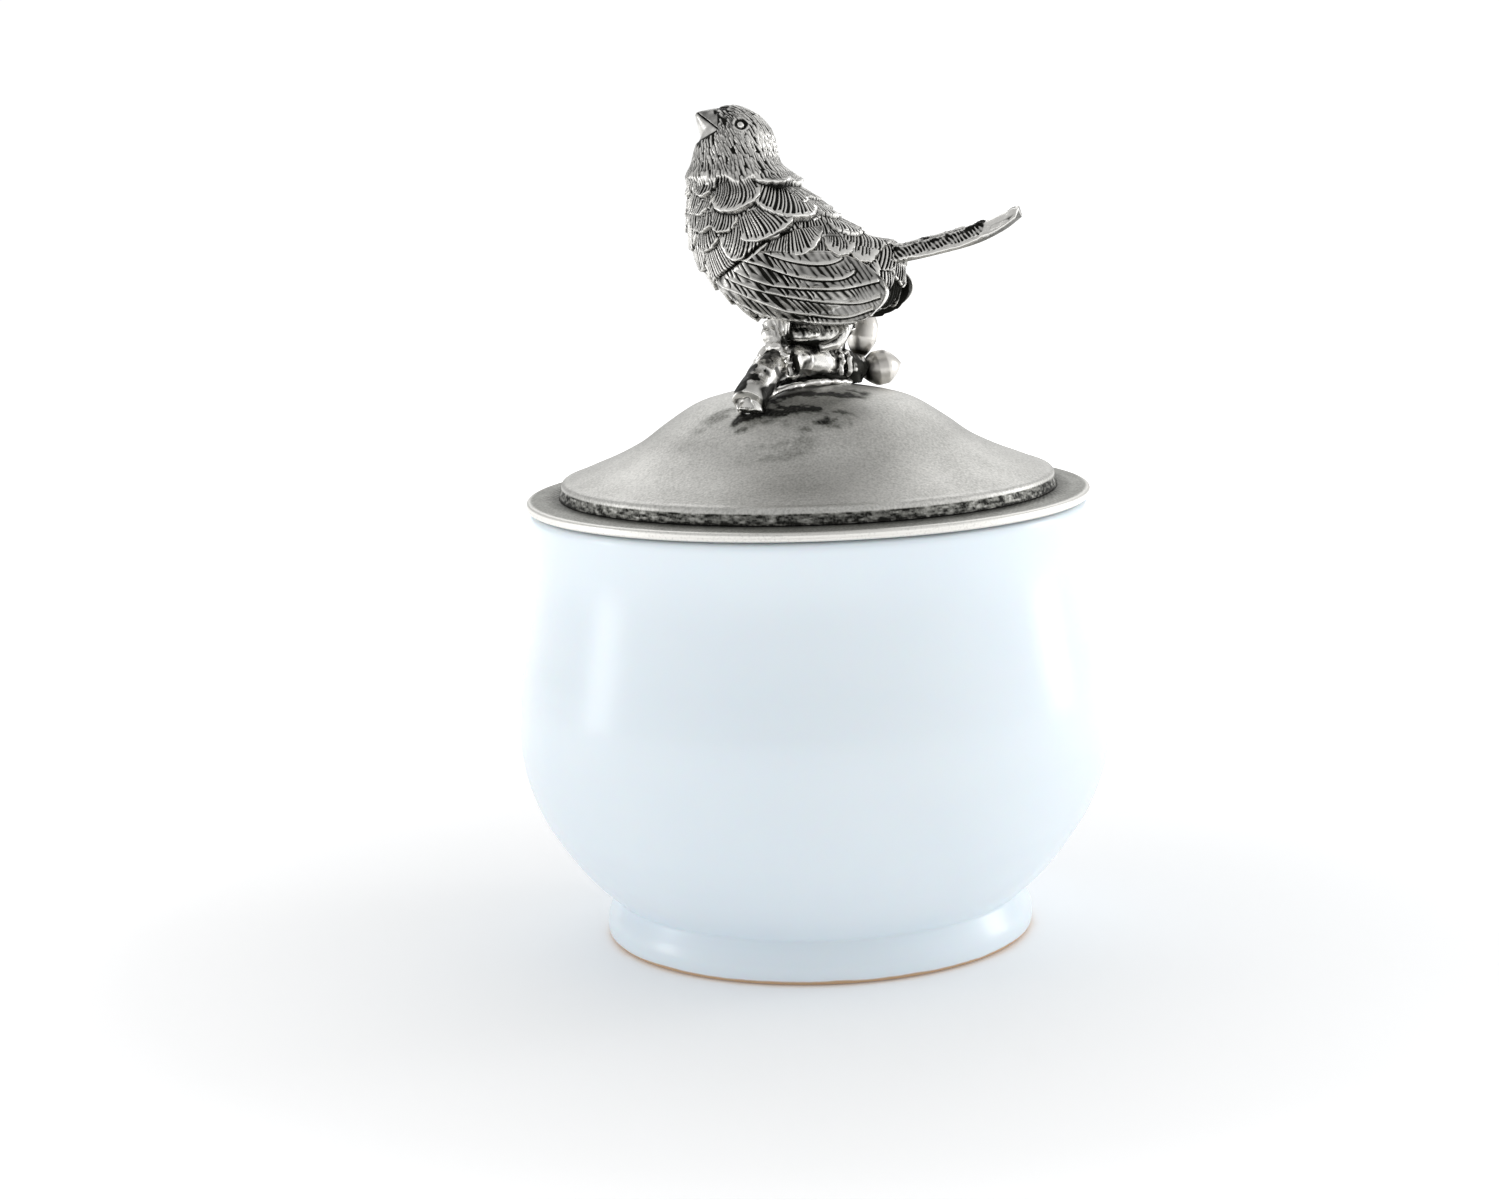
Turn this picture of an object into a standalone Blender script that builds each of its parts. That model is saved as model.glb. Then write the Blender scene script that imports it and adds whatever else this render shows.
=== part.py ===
"""Covered sugar bowl: a glazed stoneware bowl, and a pewter lid with a songbird on a twig as its finial.

Run it with: blender --background --python part.py
The sizes are in millimetres, and every mesh is made in metres. +Z is up, and the origin is the centre of the
foot, on the table. The bird looks towards -X.
"""

import math

import bmesh
import bpy
from mathutils import Matrix, Vector
from mathutils.bvhtree import BVHTree

MM = 0.001

# Driving dimensions
BELLY_RADIUS = 47.8
RIM_TOP = 70.2
MOUTH_RADIUS = 40.5
BRIM_RADIUS = 45.0
DOME_EDGE_RADIUS = 39.4
DOME_EDGE_HEIGHT = 73.9
DOME_TOP = 89.1
SHEET = 1.6  # thickness of the dome's pewter
GAP = 0.3  # left between pieces that touch
ROUND_STEPS = 48

# The finial
BIRD_TURN = math.radians(-19)  # the body looks a little past -X
HEAD_TURN = math.radians(21)  # and the head looks back along -X
TWIST_FROM, TWIST_TO = 116.0, 126.0  # heights between which the neck turns
TWIG_RADIUS = 2.35
TOE_RADIUS = 0.7
SHANK_RADIUS = 1.2
SEAT_GAP = 0.45  # left between the dome and the feet of the twig

# The two screws that hold the twig on the lid
SCREW_RADIUS = 1.15
SCREW_HEAD_RADIUS, SCREW_HEAD_HEIGHT = 2.3, 1.5
WASHER_RADIUS, WASHER_HEIGHT = 3.0, 0.5
PAD_RADIUS = 3.4
BOSS_RADIUS = 2.4

# Outlines, as (radius, height), each from the top down
RIM_OUTSIDE = [(41.6, RIM_TOP), (43.2, RIM_TOP), (44.2, 69.9), (44.6, 69.0)]
BOWL_OUTSIDE = [
    (44.3, 67.0), (43.9, 63.5), (44.1, 59.5), (45.0, 54.0), (46.3, 47.0), (47.4, 41.0),
    (BELLY_RADIUS, 35.0), (47.5, 30.0), (46.2, 25.0), (43.9, 19.8), (40.8, 14.9), (36.9, 10.1),
]
FOOT_OUTSIDE = [(33.2, 6.7), (34.2, 4.9), (34.8, 3.2), (34.9, 1.9), (34.5, 0.8), (33.7, 0.0)]
FOOT_INSIDE = [(30.6, 0.0), (30.0, 0.5), (29.2, 3.0), (0.0, 3.4)]
MOUTH_INSIDE = [(40.8, 69.9), (MOUTH_RADIUS, 69.3)]
BOWL_INSIDE = [
    (MOUTH_RADIUS, 61.5), (41.5, 51.0), (43.2, 42.0), (43.8, 35.0), (43.1, 28.0), (40.4, 21.0),
    (35.6, 15.4), (28.0, 11.6), (15.0, 9.9), (0.0, 9.6),
]
BRIM_SECTION = [
    (36.9, 71.45), (40.6, 71.45), (42.6, 71.7), (44.6, 71.95), (BRIM_RADIUS, 71.6),
    (BRIM_RADIUS, 70.85), (44.6, 70.5), (36.9, 70.5),
]
COLLAR_SECTION = [(36.9, 70.2), (38.4, 70.2), (38.4, 65.9), (38.9, 65.5), (38.9, 64.9), (38.4, 64.6), (36.9, 64.6)]
SEAL_SECTION = [
    (38.7, 70.1), (39.5, 70.1), (40.15, 69.4), (39.5, 68.8), (39.5, 67.8), (40.15, 67.2), (39.5, 66.4), (38.7, 66.4),
]
DOME_OUTSIDE = [
    (0.0, DOME_TOP), (5.0, 88.85), (9.8, 88.15), (14.6, 87.1), (18.8, 85.5), (22.8, 82.8), (26.6, 80.1),
    (31.2, 77.7), (35.4, 75.95), (38.4, 74.75),
]
DOME_WALL = [(DOME_EDGE_RADIUS, DOME_EDGE_HEIGHT), (39.5, 73.2), (39.9, 71.75)]

# The twig, in the lid's frame: it comes down on the lid at its near left end and at its far right end
TWIG_PATH = [
    (-9.3, -16.4, 87.7), (-7.6, -12.4, 90.3), (-5.2, -8.2, 92.3), (-1.8, -3.9, 92.7), (2.0, -0.4, 92.1),
    (5.8, 3.4, 91.2), (8.6, 6.6, 90.3),
]
TWIG_SCREWS = {"front": (-8.4, -14.2), "rear": (6.6, 4.3)}
SIDE_BUD = [(10.7, 7.6, 90.3), (13.1, 7.9, 90.9), (16.6, 8.8, 91.4)]  # root, widest point, tip
UPRIGHT_BUD = [(9.0, 9.6, 92.7), (10.2, 10.6, 95.6), (11.4, 11.6, 99.2)]
BUD_RADIUS = 2.55
FEET_ALONG_TWIG = {"left": 0.42, "right": 0.80}
HIPS = {"left": (-2.7, -3.4, 97.6), "right": (6.3, 1.0, 97.6)}

# The bird's body, in its own frame, where it is the same on both sides of y = 0: for each station, its point on
# the back, its point on the front or belly, and its half width
BODY_STATIONS = [
    ((15.0, 110.9), (17.0, 107.9), 2.4),
    ((12.6, 111.6), (15.6, 104.8), 4.0),
    ((9.4, 113.0), (12.8, 101.0), 6.4),
    ((5.6, 115.7), (7.4, 98.5), 9.0),
    ((1.6, 119.0), (-0.4, 97.8), 10.6),
    ((-1.2, 121.3), (-7.8, 99.6), 11.1),
    ((-2.7, 122.9), (-13.7, 104.2), 10.7),
    ((-3.3, 124.1), (-17.4, 109.3), 9.7),
    ((-3.5, 125.2), (-18.5, 115.0), 8.3),
    ((-3.6, 126.3), (-17.7, 120.4), 7.1),
    ((-3.9, 127.7), (-16.6, 124.6), 6.3),
    ((-4.7, 129.6), (-15.8, 127.3), 5.9),
    ((-6.3, 131.5), (-15.0, 128.6), 5.3),
    ((-8.8, 132.7), (-14.5, 128.9), 4.3),
    ((-11.0, 132.8), (-14.6, 129.1), 3.0),
    ((-12.3, 132.6), (-14.9, 129.3), 2.1),
]
BEAK_TIP = (-16.1, 132.0)
# The tail: points along its ridge, and the half width there
TAIL_STATIONS = [
    ((17.5, 109.9), 2.2), ((22.0, 110.7), 3.4), ((28.0, 112.8), 3.9), ((33.0, 115.0), 3.7), ((36.6, 116.9), 1.9),
]
TAIL_DROP = 0.75  # how far each side of the tail falls for each unit of its half width
TAIL_THICKNESS = 1.3
# Each wing: pairs of its lower and upper edge, in side view, from the shoulder to the tip
WING_STATIONS = [
    ((-12.4, 105.6), (-11.4, 107.0)), ((-9.2, 103.4), (-6.6, 109.8)), ((-4.4, 101.5), (-0.8, 112.4)),
    ((1.5, 99.9), (4.4, 111.2)), ((7.5, 99.6), (9.2, 109.2)), ((12.6, 100.0), (13.4, 107.6)),
    ((15.4, 101.4), (16.2, 106.6)),
]
WING_OFF_BODY, WING_THICKNESS = 0.6, 1.1
WING_TIP_OUT = 7.2  # least distance of the wing's rear from the bird's middle plane
WING_ACROSS = 7


def clear_scene():
    for obj in list(bpy.data.objects):
        bpy.data.objects.remove(obj)


def metal(name, colour, roughness, metallic):
    """A Principled material."""
    made = bpy.data.materials.new(name)
    made.use_nodes = True
    shader = made.node_tree.nodes["Principled BSDF"]
    shader.inputs["Base Color"].default_value = (*colour, 1.0)
    shader.inputs["Roughness"].default_value = roughness
    shader.inputs["Metallic"].default_value = metallic
    return made


def smooth(points, per_span):
    """Points on the Catmull-Rom curve through these points, which have 2 or 3 coordinates, both ends included."""
    ends = [[2 * a - b for a, b in zip(points[0], points[1])], [2 * a - b for a, b in zip(points[-1], points[-2])]]
    p = [ends[0], *points, ends[1]]
    made = []
    for i in range(1, len(p) - 2):
        for k in range(per_span):
            t = k / per_span
            made.append(tuple(
                0.5 * (2 * b + (c - a) * t + (2 * a - 5 * b + 4 * c - d) * t * t + (3 * b - a - 3 * c + d) * t**3)
                for a, b, c, d in zip(p[i - 1], p[i], p[i + 1], p[i + 2])
            ))
    return [*made, tuple(points[-1])]


def offset(outline, distance):
    """An outline of (radius, height), moved to its left as it is walked."""
    made = []
    for i, (r, z) in enumerate(outline):
        before, after = outline[max(i - 1, 0)], outline[min(i + 1, len(outline) - 1)]
        along = Vector((after[0] - before[0], after[1] - before[1])).normalized()
        made.append((max(r - along.y * distance, 0.0), z + along.x * distance))
    return made


def add(name, mesh, material, parent=None):
    """A shown object. Its parent, if any, is an empty whose place it is measured from."""
    obj = bpy.data.objects.new(name, mesh)
    bpy.context.scene.collection.objects.link(obj)
    mesh.materials.clear()
    mesh.materials.append(material)
    mesh.shade_smooth()
    mesh.set_sharp_from_angle(angle=math.radians(35))
    if parent is not None:
        obj.parent = parent
        mesh.transform(Matrix.Translation(-parent.location))
    return obj


def empty(name, location=(0, 0, 0), turn=0.0, parent=None):
    made = bpy.data.objects.new(name, None)
    made.location = location
    made.rotation_euler.z = turn
    made.parent = parent
    bpy.context.scene.collection.objects.link(made)
    return made


def finished(bm, name):
    """The bmesh as a mesh in metres, with its faces pointing out."""
    bmesh.ops.remove_doubles(bm, verts=bm.verts, dist=1e-4)
    bmesh.ops.recalc_face_normals(bm, faces=bm.faces)
    bmesh.ops.scale(bm, vec=(MM, MM, MM), verts=bm.verts)
    mesh = bpy.data.meshes.new(name)
    bm.to_mesh(mesh)
    bm.free()
    return mesh


def turned(name, outline, ring):
    """An outline of (radius, height) turned about Z. A ring's outline closes on itself, and another's ends are on Z."""
    bm = bmesh.new()
    corners = [bm.verts.new((r, 0, z)) for r, z in outline]
    pairs = list(zip(corners, corners[1:]))
    if ring:
        pairs.append((corners[-1], corners[0]))
    edges = [bm.edges.new(pair) for pair in pairs]
    bmesh.ops.spin(
        bm, geom=[*corners, *edges], cent=(0, 0, 0), axis=(0, 0, 1), angle=2 * math.pi, steps=ROUND_STEPS,
        use_merge=True,
    )
    return finished(bm, name)


def lofted(name, rings):
    """Rings of as many points each, joined one to the next, with both ends closed."""
    bm = bmesh.new()
    rows = [[bm.verts.new(point) for point in ring] for ring in rings]
    count = len(rows[0])
    for one, two in zip(rows, rows[1:]):
        for i in range(count):
            j = (i + 1) % count
            bm.faces.new((one[i], one[j], two[j], two[i]))
    bm.faces.new(rows[0])
    bm.faces.new(rows[-1])
    return finished(bm, name)


def frames_along(path):
    """For each point of a path, (point, direction, up, side), where up is the square direction nearest to +Z."""
    points = [Vector(p) for p in path]
    made = []
    for i, point in enumerate(points):
        along = (points[min(i + 1, len(points) - 1)] - points[max(i - 1, 0)]).normalized()
        up = Vector((0, 0, 1)) if abs(along.z) < 0.9 else Vector((-1, 0, 0))
        up = (up - along * up.dot(along)).normalized()
        made.append((point, along, up, along.cross(up)))
    return made


def rod(name, path, radii, sides):
    """A round rod along a path, with a radius at each of its points."""
    rings = []
    for (point, _, up, side), radius in zip(frames_along(path), radii):
        turns = [2 * math.pi * k / sides for k in range(sides)]
        rings.append([point + radius * (up * math.cos(a) + side * math.sin(a)) for a in turns])
    return lofted(name, rings)


def cylinder(name, centre, radius, low, high, sides=16):
    """An upright cylinder as a mesh."""
    path = [(*centre, low), (*centre, high)]
    return rod(name, path, [radius, radius], sides)


def combine(mesh, other, operation):
    """The mesh joined with another, or cut by it, by Blender's exact Boolean."""
    base = bpy.data.objects.new("combine_base", mesh)
    tool = bpy.data.objects.new("combine_tool", other)
    for obj in (base, tool):
        bpy.context.scene.collection.objects.link(obj)
    modifier = base.modifiers.new("combine", "BOOLEAN")
    modifier.operation = operation
    modifier.object = tool
    graph = bpy.context.evaluated_depsgraph_get()
    graph.update()
    made = bpy.data.meshes.new_from_object(base.evaluated_get(graph))
    for obj in (base, tool):
        bpy.data.objects.remove(obj)
    return made


def dome_surface(grown=0.0):
    """The outside of the dome, from its top to its edge, moved outwards by grown."""
    return offset([*smooth(DOME_OUTSIDE, 2), *DOME_WALL], grown)


def dome_height(x, y):
    """The height of the dome's outside over a point."""
    r = math.hypot(x, y)
    surface = dome_surface()
    for (r0, z0), (r1, z1) in zip(surface, surface[1:]):
        if r0 <= r <= r1:
            return z0 + (z1 - z0) * (r - r0) / (r1 - r0)
    raise ValueError("that point is off the dome")


def pad_bottom(place):
    """The height of the flat pad under the dome where a screw goes through."""
    x, y = place
    farther = 1 + PAD_RADIUS / math.hypot(x, y)
    return dome_height(x * farther, y * farther) - SHEET - 0.4


def make_bowl(stoneware):
    outline = [
        *reversed([*FOOT_OUTSIDE, *FOOT_INSIDE]), *reversed(smooth(BOWL_OUTSIDE, 2)),
        *reversed(RIM_OUTSIDE), *MOUTH_INSIDE, *smooth(BOWL_INSIDE, 2),
    ]
    add("bowl", turned("bowl", outline, ring=False), stoneware)


def make_lid(pewter, lid):
    """The brim, the dome on it, and the collar under it that goes into the bowl's mouth."""
    add("lid_brim", turned("lid_brim", BRIM_SECTION, ring=True), pewter, lid)
    add("lid_collar", turned("lid_collar", COLLAR_SECTION, ring=True), pewter, lid)
    inside = offset(smooth(DOME_OUTSIDE, 2), -SHEET)
    outline = [*dome_surface(), (37.8, 71.75), *reversed(inside)]
    dome = turned("lid_dome", outline, ring=False)
    for place in TWIG_SCREWS.values():
        pad = cylinder("pad", place, PAD_RADIUS, pad_bottom(place), dome_height(*place) - 0.5 * SHEET, 24)
        dome = combine(dome, pad, "UNION")
        hole = cylinder("hole", place, SCREW_RADIUS + GAP, pad_bottom(place) - 5, DOME_TOP + 5)
        dome = combine(dome, hole, "DIFFERENCE")
    add("lid_dome", dome, pewter, lid)


def make_screws(steel, lid):
    """A screw from under the dome into each end of the twig, with a washer."""
    for where, place in TWIG_SCREWS.items():
        washer_top = pad_bottom(place) - GAP
        washer_low = washer_top - WASHER_HEIGHT
        ring = cylinder("washer", place, WASHER_RADIUS, washer_low, washer_top, 24)
        bore = cylinder("bore", place, SCREW_RADIUS + GAP, washer_low - 1, washer_top + 1)
        add(f"washer_{where}", combine(ring, bore, "DIFFERENCE"), steel, lid)
        head_top = washer_low - GAP
        head_low = head_top - SCREW_HEAD_HEIGHT
        levels = [
            (head_low, 0.6 * SCREW_HEAD_RADIUS), (head_low + 0.5, SCREW_HEAD_RADIUS), (head_top, SCREW_HEAD_RADIUS),
            (head_top, SCREW_RADIUS), (screw_top(place), SCREW_RADIUS),
        ]
        path = [(*place, z) for z, _ in levels]
        screw = rod("screw", path, [r for _, r in levels], 16)
        slot = bpy.data.meshes.new("slot")
        bm = bmesh.new()
        bmesh.ops.create_cube(bm, size=1.0)
        size = Vector((6.0, 0.6, 0.8)) * MM
        bmesh.ops.scale(bm, vec=size, verts=bm.verts)
        bmesh.ops.translate(bm, vec=Vector((*place, head_low)) * MM, verts=bm.verts)
        bm.to_mesh(slot)
        bm.free()
        add(f"screw_{where}", combine(screw, slot, "DIFFERENCE"), steel, lid)


def screw_top(place):
    return dome_height(*place) + 2.3


def twig_frames():
    return frames_along(smooth(TWIG_PATH, 4))


def make_twig(pewter, lid):
    """The twig, its two feet shaped to the dome, and its two leaf buds."""
    path = smooth(TWIG_PATH, 4)
    last = len(path) - 1
    radii = [TWIG_RADIUS * (1 + 0.07 * math.sin(2.1 * i)) for i in range(last + 1)]
    twig = rod("twig", path, radii, 12)
    for place in TWIG_SCREWS.values():
        low = dome_height(*place)
        twig = combine(twig, cylinder("boss", place, BOSS_RADIUS, low - 3, low + 1.6), "UNION")
    seat = turned("seat", [*dome_surface(SEAT_GAP), (DOME_EDGE_RADIUS, 60), (0, 60)], ring=False)
    twig = combine(twig, seat, "DIFFERENCE")
    for place in TWIG_SCREWS.values():
        pilot = cylinder("pilot", place, SCREW_RADIUS + GAP, DOME_TOP - 15, screw_top(place) + GAP)
        twig = combine(twig, pilot, "DIFFERENCE")
    add("twig", twig, pewter, lid)
    for name, (root, widest, tip) in {"bud_side": SIDE_BUD, "bud_upright": UPRIGHT_BUD}.items():
        path = smooth([root, widest, tip], 4)
        swell = [BUD_RADIUS * s for s in (0.42, 0.72, 0.90, 0.99, 1.0, 0.93, 0.75, 0.46, 0.12)]
        add(name, rod(name, path, swell, 12), pewter, lid)


def make_legs(pewter, lid):
    """Each leg stands on the twig and holds it with four toes."""
    frames = twig_frames()
    reach = TWIG_RADIUS * 1.07 + 2 * GAP + TOE_RADIUS
    for which, along in FEET_ALONG_TWIG.items():
        point, direction, up, side = frames[round(along * (len(frames) - 1))]
        foot = point + up * reach
        hip = Vector(HIPS[which])
        leg = rod("leg", [foot - up * 0.2, foot.lerp(hip, 0.5), hip], [SHANK_RADIUS] * 3, 10)
        for shift, turn in ((-1.6, -1), (0.0, -1), (1.6, -1), (0.0, 1)):
            arc = []
            for k in range(7):
                angle = turn * math.radians(110) * k / 6
                spread = direction * shift * min(1.0, k / 2)
                arc.append(point + spread + reach * (up * math.cos(angle) + side * math.sin(angle)))
            radii = [TOE_RADIUS * (1 - 0.05 * k) for k in range(7)]
            leg = combine(leg, rod("toe", arc, radii, 8), "UNION")
        add(f"bird_leg_{which}", leg, pewter, lid)


def turned_head(point):
    """A point of the bird, turned about the neck as far as its height asks."""
    share = min(max((point.z - TWIST_FROM) / (TWIST_TO - TWIST_FROM), 0.0), 1.0)
    share = share * share * (3 - 2 * share)
    pivot = Vector((-9.5, 0, 0))
    return Matrix.Rotation(HEAD_TURN * share, 4, "Z") @ (point - pivot) + pivot


def body_rings(sides):
    """Rings round the body, each an oval between its point on the back and its point on the front."""
    flat = [(*back, *front, width) for back, front, width in BODY_STATIONS]
    rings = []
    for bx, bz, fx, fz, width in smooth(flat, 2):
        back, front = Vector((bx, 0, bz)), Vector((fx, 0, fz))
        centre, half = (back + front) / 2, (back - front) / 2
        ring = []
        for k in range(sides):
            angle = 2 * math.pi * k / sides
            ring.append(centre + half * math.cos(angle) + Vector((0, width * math.sin(angle), 0)))
        rings.append(ring)
    return rings


def make_body(pewter, bird):
    """The body and head, ending in the beak."""
    rings = body_rings(20)
    last = rings[-1]
    centre = sum(last, Vector()) / len(last)
    tip = Vector((BEAK_TIP[0], 0, BEAK_TIP[1]))
    for share in (0.55, 0.95):
        rings.append([p.lerp(tip + (p - centre) * 0.08, share) for p in last])
    mesh = lofted("bird_body", [[turned_head(p) for p in ring] for ring in rings])
    add("bird_body", mesh, pewter, bird)
    return mesh


def make_tail(pewter, bird):
    """A long roof of narrow feathers, higher along its ridge than at its sides."""
    flat = [(x, z, width) for (x, z), width in TAIL_STATIONS]
    rings = []
    for x, z, width in smooth(flat, 2):
        drop = width * TAIL_DROP
        top = [(-1.0, -drop), (-0.5, -0.42 * drop), (0.0, 0.0), (0.5, -0.42 * drop), (1.0, -drop)]
        above = [Vector((x, across * width, z + down)) for across, down in top]
        below = [p - Vector((0, 0, TAIL_THICKNESS)) for p in reversed(above)]
        rings.append([*above, *below])
    add("bird_tail", lofted("bird_tail", rings), pewter, bird)


def make_wings(pewter, bird, body):
    """Each wing is a curved plate over the flank, and its tip stands clear behind."""
    tree = BVHTree.FromPolygons([v.co / MM for v in body.vertices], [list(p.vertices) for p in body.polygons])
    flat = [(*low, *high) for low, high in WING_STATIONS]
    stations = smooth(flat, 3)
    for side, sign in (("left", -1), ("right", 1)):
        sideways = Vector((0, sign, 0))
        rings = []
        for i, (lx, lz, hx, hz) in enumerate(stations):
            clear = min(max((i / (len(stations) - 1) - 0.3) / 0.3, 0.0), 1.0)
            inner, normals = [], []
            for k in range(WING_ACROSS):
                across = k / (WING_ACROSS - 1)
                x, z = lx + (hx - lx) * across, lz + (hz - lz) * across
                flank, normal = tree.ray_cast(Vector((x, sign * 40, z)), -sideways)[:2]
                if flank is None:
                    flank, normal = Vector((x, 0, z)), sideways
                point = flank + normal * WING_OFF_BODY
                point.y = sign * max(abs(point.y), WING_TIP_OUT * clear)
                inner.append(point)
                normals.append(normal.lerp(sideways, clear))
            # a low edge that hangs past the belly stays nearly as far out as the plate above it
            for k in range(WING_ACROSS - 2, -1, -1):
                inner[k].y = sign * max(abs(inner[k].y), abs(inner[k + 1].y) - 2.2)
            outer = [p + n.normalized() * WING_THICKNESS for p, n in zip(inner, normals)]
            rings.append([*inner, *reversed(outer)])
        add(f"bird_wing_{side}", lofted(f"bird_wing_{side}", rings), pewter, bird)


def main():
    clear_scene()
    stoneware = metal("glazed stoneware", (0.80, 0.85, 0.90), 0.12, 0.0)
    pewter = metal("satin pewter", (0.55, 0.54, 0.51), 0.38, 1.0)
    aged = metal("antiqued pewter", (0.45, 0.44, 0.42), 0.32, 1.0)
    silicone = metal("clear silicone", (0.86, 0.87, 0.86), 0.45, 0.0)
    steel = metal("screw steel", (0.62, 0.62, 0.60), 0.30, 1.0)
    seat = (0, 0, RIM_TOP * MM)
    seal = empty("seal_axis", seat)
    lid = empty("lid_axis", seat)
    bird = empty("bird_axis", (0, 0, 0), BIRD_TURN)
    make_bowl(stoneware)
    add("seal_ring", turned("seal_ring", SEAL_SECTION, ring=True), silicone, seal)
    make_lid(pewter, lid)
    make_screws(steel, lid)
    make_twig(aged, lid)
    make_legs(aged, lid)
    body = make_body(aged, bird)
    make_tail(aged, bird)
    make_wings(aged, bird, body)


main()
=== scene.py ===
"""The covered sugar bowl's looks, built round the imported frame.

Lengths are in millimetres until a mesh is made, and then in metres. The bird is made in its own frame, where it
is the same on both sides of y = 0 and looks towards -X, and is then turned into place.
"""

import math

import bmesh
import bpy
import numpy as np
from mathutils import Matrix, Vector
from mathutils.bvhtree import BVHTree

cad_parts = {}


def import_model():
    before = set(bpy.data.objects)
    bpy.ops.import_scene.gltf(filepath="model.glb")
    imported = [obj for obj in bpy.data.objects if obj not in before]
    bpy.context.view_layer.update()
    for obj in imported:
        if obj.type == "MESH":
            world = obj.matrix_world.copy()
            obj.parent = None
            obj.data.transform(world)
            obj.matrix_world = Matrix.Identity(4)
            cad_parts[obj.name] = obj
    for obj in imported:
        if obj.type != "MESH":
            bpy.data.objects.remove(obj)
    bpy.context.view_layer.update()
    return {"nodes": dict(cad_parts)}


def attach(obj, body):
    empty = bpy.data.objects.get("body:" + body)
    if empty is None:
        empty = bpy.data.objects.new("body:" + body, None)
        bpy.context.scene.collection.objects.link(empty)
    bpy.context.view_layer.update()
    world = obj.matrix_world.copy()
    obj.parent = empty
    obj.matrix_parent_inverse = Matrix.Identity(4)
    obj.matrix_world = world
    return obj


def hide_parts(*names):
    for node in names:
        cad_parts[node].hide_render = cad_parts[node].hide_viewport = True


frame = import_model()

MM = 0.001
RNG = np.random.default_rng(11)
LATTICE_SIZE = 32
LATTICE = np.random.default_rng(5).random((LATTICE_SIZE,) * 3)

# The bird's stance, as the CAD has it
BIRD_TURN = math.radians(-19)
HEAD_TURN = math.radians(21)
NECK_PIVOT = np.array([-9.5, 0.0, 0.0])
TWIST_FROM, TWIST_TO = 116.0, 126.0  # heights between which the neck turns

# Stations of the body from tail to beak: back x, z, front x, z, half width
BODY_STATIONS = [
    (15.2, 111.7, 17.2, 107.6, 2.4), (12.6, 112.3, 16.5, 104.2, 4.0), (9.4, 113.6, 14.4, 100.9, 6.2),
    (5.6, 115.9, 8.2, 98.5, 9.0), (1.6, 119.0, -0.4, 97.8, 10.6), (-1.2, 121.1, -7.8, 99.6, 11.1),
    (-2.7, 122.6, -13.7, 104.2, 10.7), (-3.4, 123.8, -17.4, 109.3, 9.7), (-3.7, 125.0, -18.5, 115.0, 8.3),
    (-3.9, 126.2, -18.2, 120.4, 7.1), (-4.2, 127.7, -17.1, 124.9, 6.3), (-4.9, 129.4, -16.4, 127.1, 5.9),
    (-6.5, 131.2, -16.0, 127.8, 5.3), (-8.8, 132.5, -15.8, 128.2, 4.3), (-10.9, 133.0, -15.85, 128.5, 3.1),
    (-12.7, 132.75, -16.0, 129.1, 2.3), (-14.3, 132.55, -16.25, 130.2, 1.5),
    (-15.5, 132.35, -16.45, 131.1, 0.9),
    (-16.3, 132.15, -16.55, 131.7, 0.35),
]
BODY_ROWS, BODY_ROUND = 470, 520
EYE = (-9.5, 130.1)  # x, z
FEATHER_TILT = math.radians(5)  # the rows of small feathers rise this much towards the tail
# The broad feathers of the flank: root x, z, tip x, z, half width
FLANK_FEATHERS = [
    (-3.6, 124.2, -1.6, 120.8, 3.7), (-8.6, 121.6, -7.3, 117.2, 3.7), (-1.2, 120.6, 0.6, 116.2, 5.0),
    (-4.0, 117.6, -0.7, 113.4, 4.4), (-6.4, 115.6, -5.0, 110.0, 3.9), (-11.3, 111.8, -9.5, 106.5, 3.9),
    (-12.9, 114.4, -12.1, 111.1, 2.6), (-13.3, 117.2, -12.7, 114.0, 2.4), (-13.5, 122.6, -13.0, 119.4, 2.2),
    (-13.8, 119.7, -13.4, 116.6, 2.1), (-9.3, 117.6, -9.3, 114.0, 2.5), (0.8, 113.8, 2.2, 109.7, 5.1),
    (4.7, 117.6, 5.8, 114.1, 3.4), (8.6, 115.2, 9.6, 111.6, 3.2), (8.0, 112.8, 9.4, 109.8, 2.3),
    (10.9, 112.4, 12.6, 108.7, 2.5), (10.8, 109.8, 13.4, 105.8, 2.3),
]
# Rows of scalloped feathers: height of their tips, half width, length
FEATHER_ROWS = [
    (120.2, 2.3, 4.6), (117.1, 2.7, 5.0), (114.3, 2.8, 5.0), (111.3, 3.0, 5.2), (108.0, 3.0, 5.4),
    (104.9, 2.9, 5.2), (101.9, 2.7, 4.8), (99.4, 2.4, 4.4),
]
WING_LOWER = [
    (-11.0, 105.9), (-9.4, 104.7), (-7.0, 102.9), (-2.9, 100.5), (1.8, 99.5), (8.0, 99.1), (12.4, 99.7),
    (14.6, 101.5),
]
WING_UPPER = [
    (-10.8, 106.3), (-8.3, 107.7), (-5.5, 109.3), (-2.8, 110.7), (2.4, 110.6), (8.0, 110.2), (12.8, 108.0),
    (15.4, 105.8),
]
WING_CREASE = [(-11.2, 106.0), (-8.4, 107.8), (-5.7, 109.4), (-3.2, 111.4), (-0.6, 113.0), (2.3, 114.1)]
WING_TIP_OUT = 7.2
WING_ROWS, WING_ACROSS = 460, 230
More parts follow.
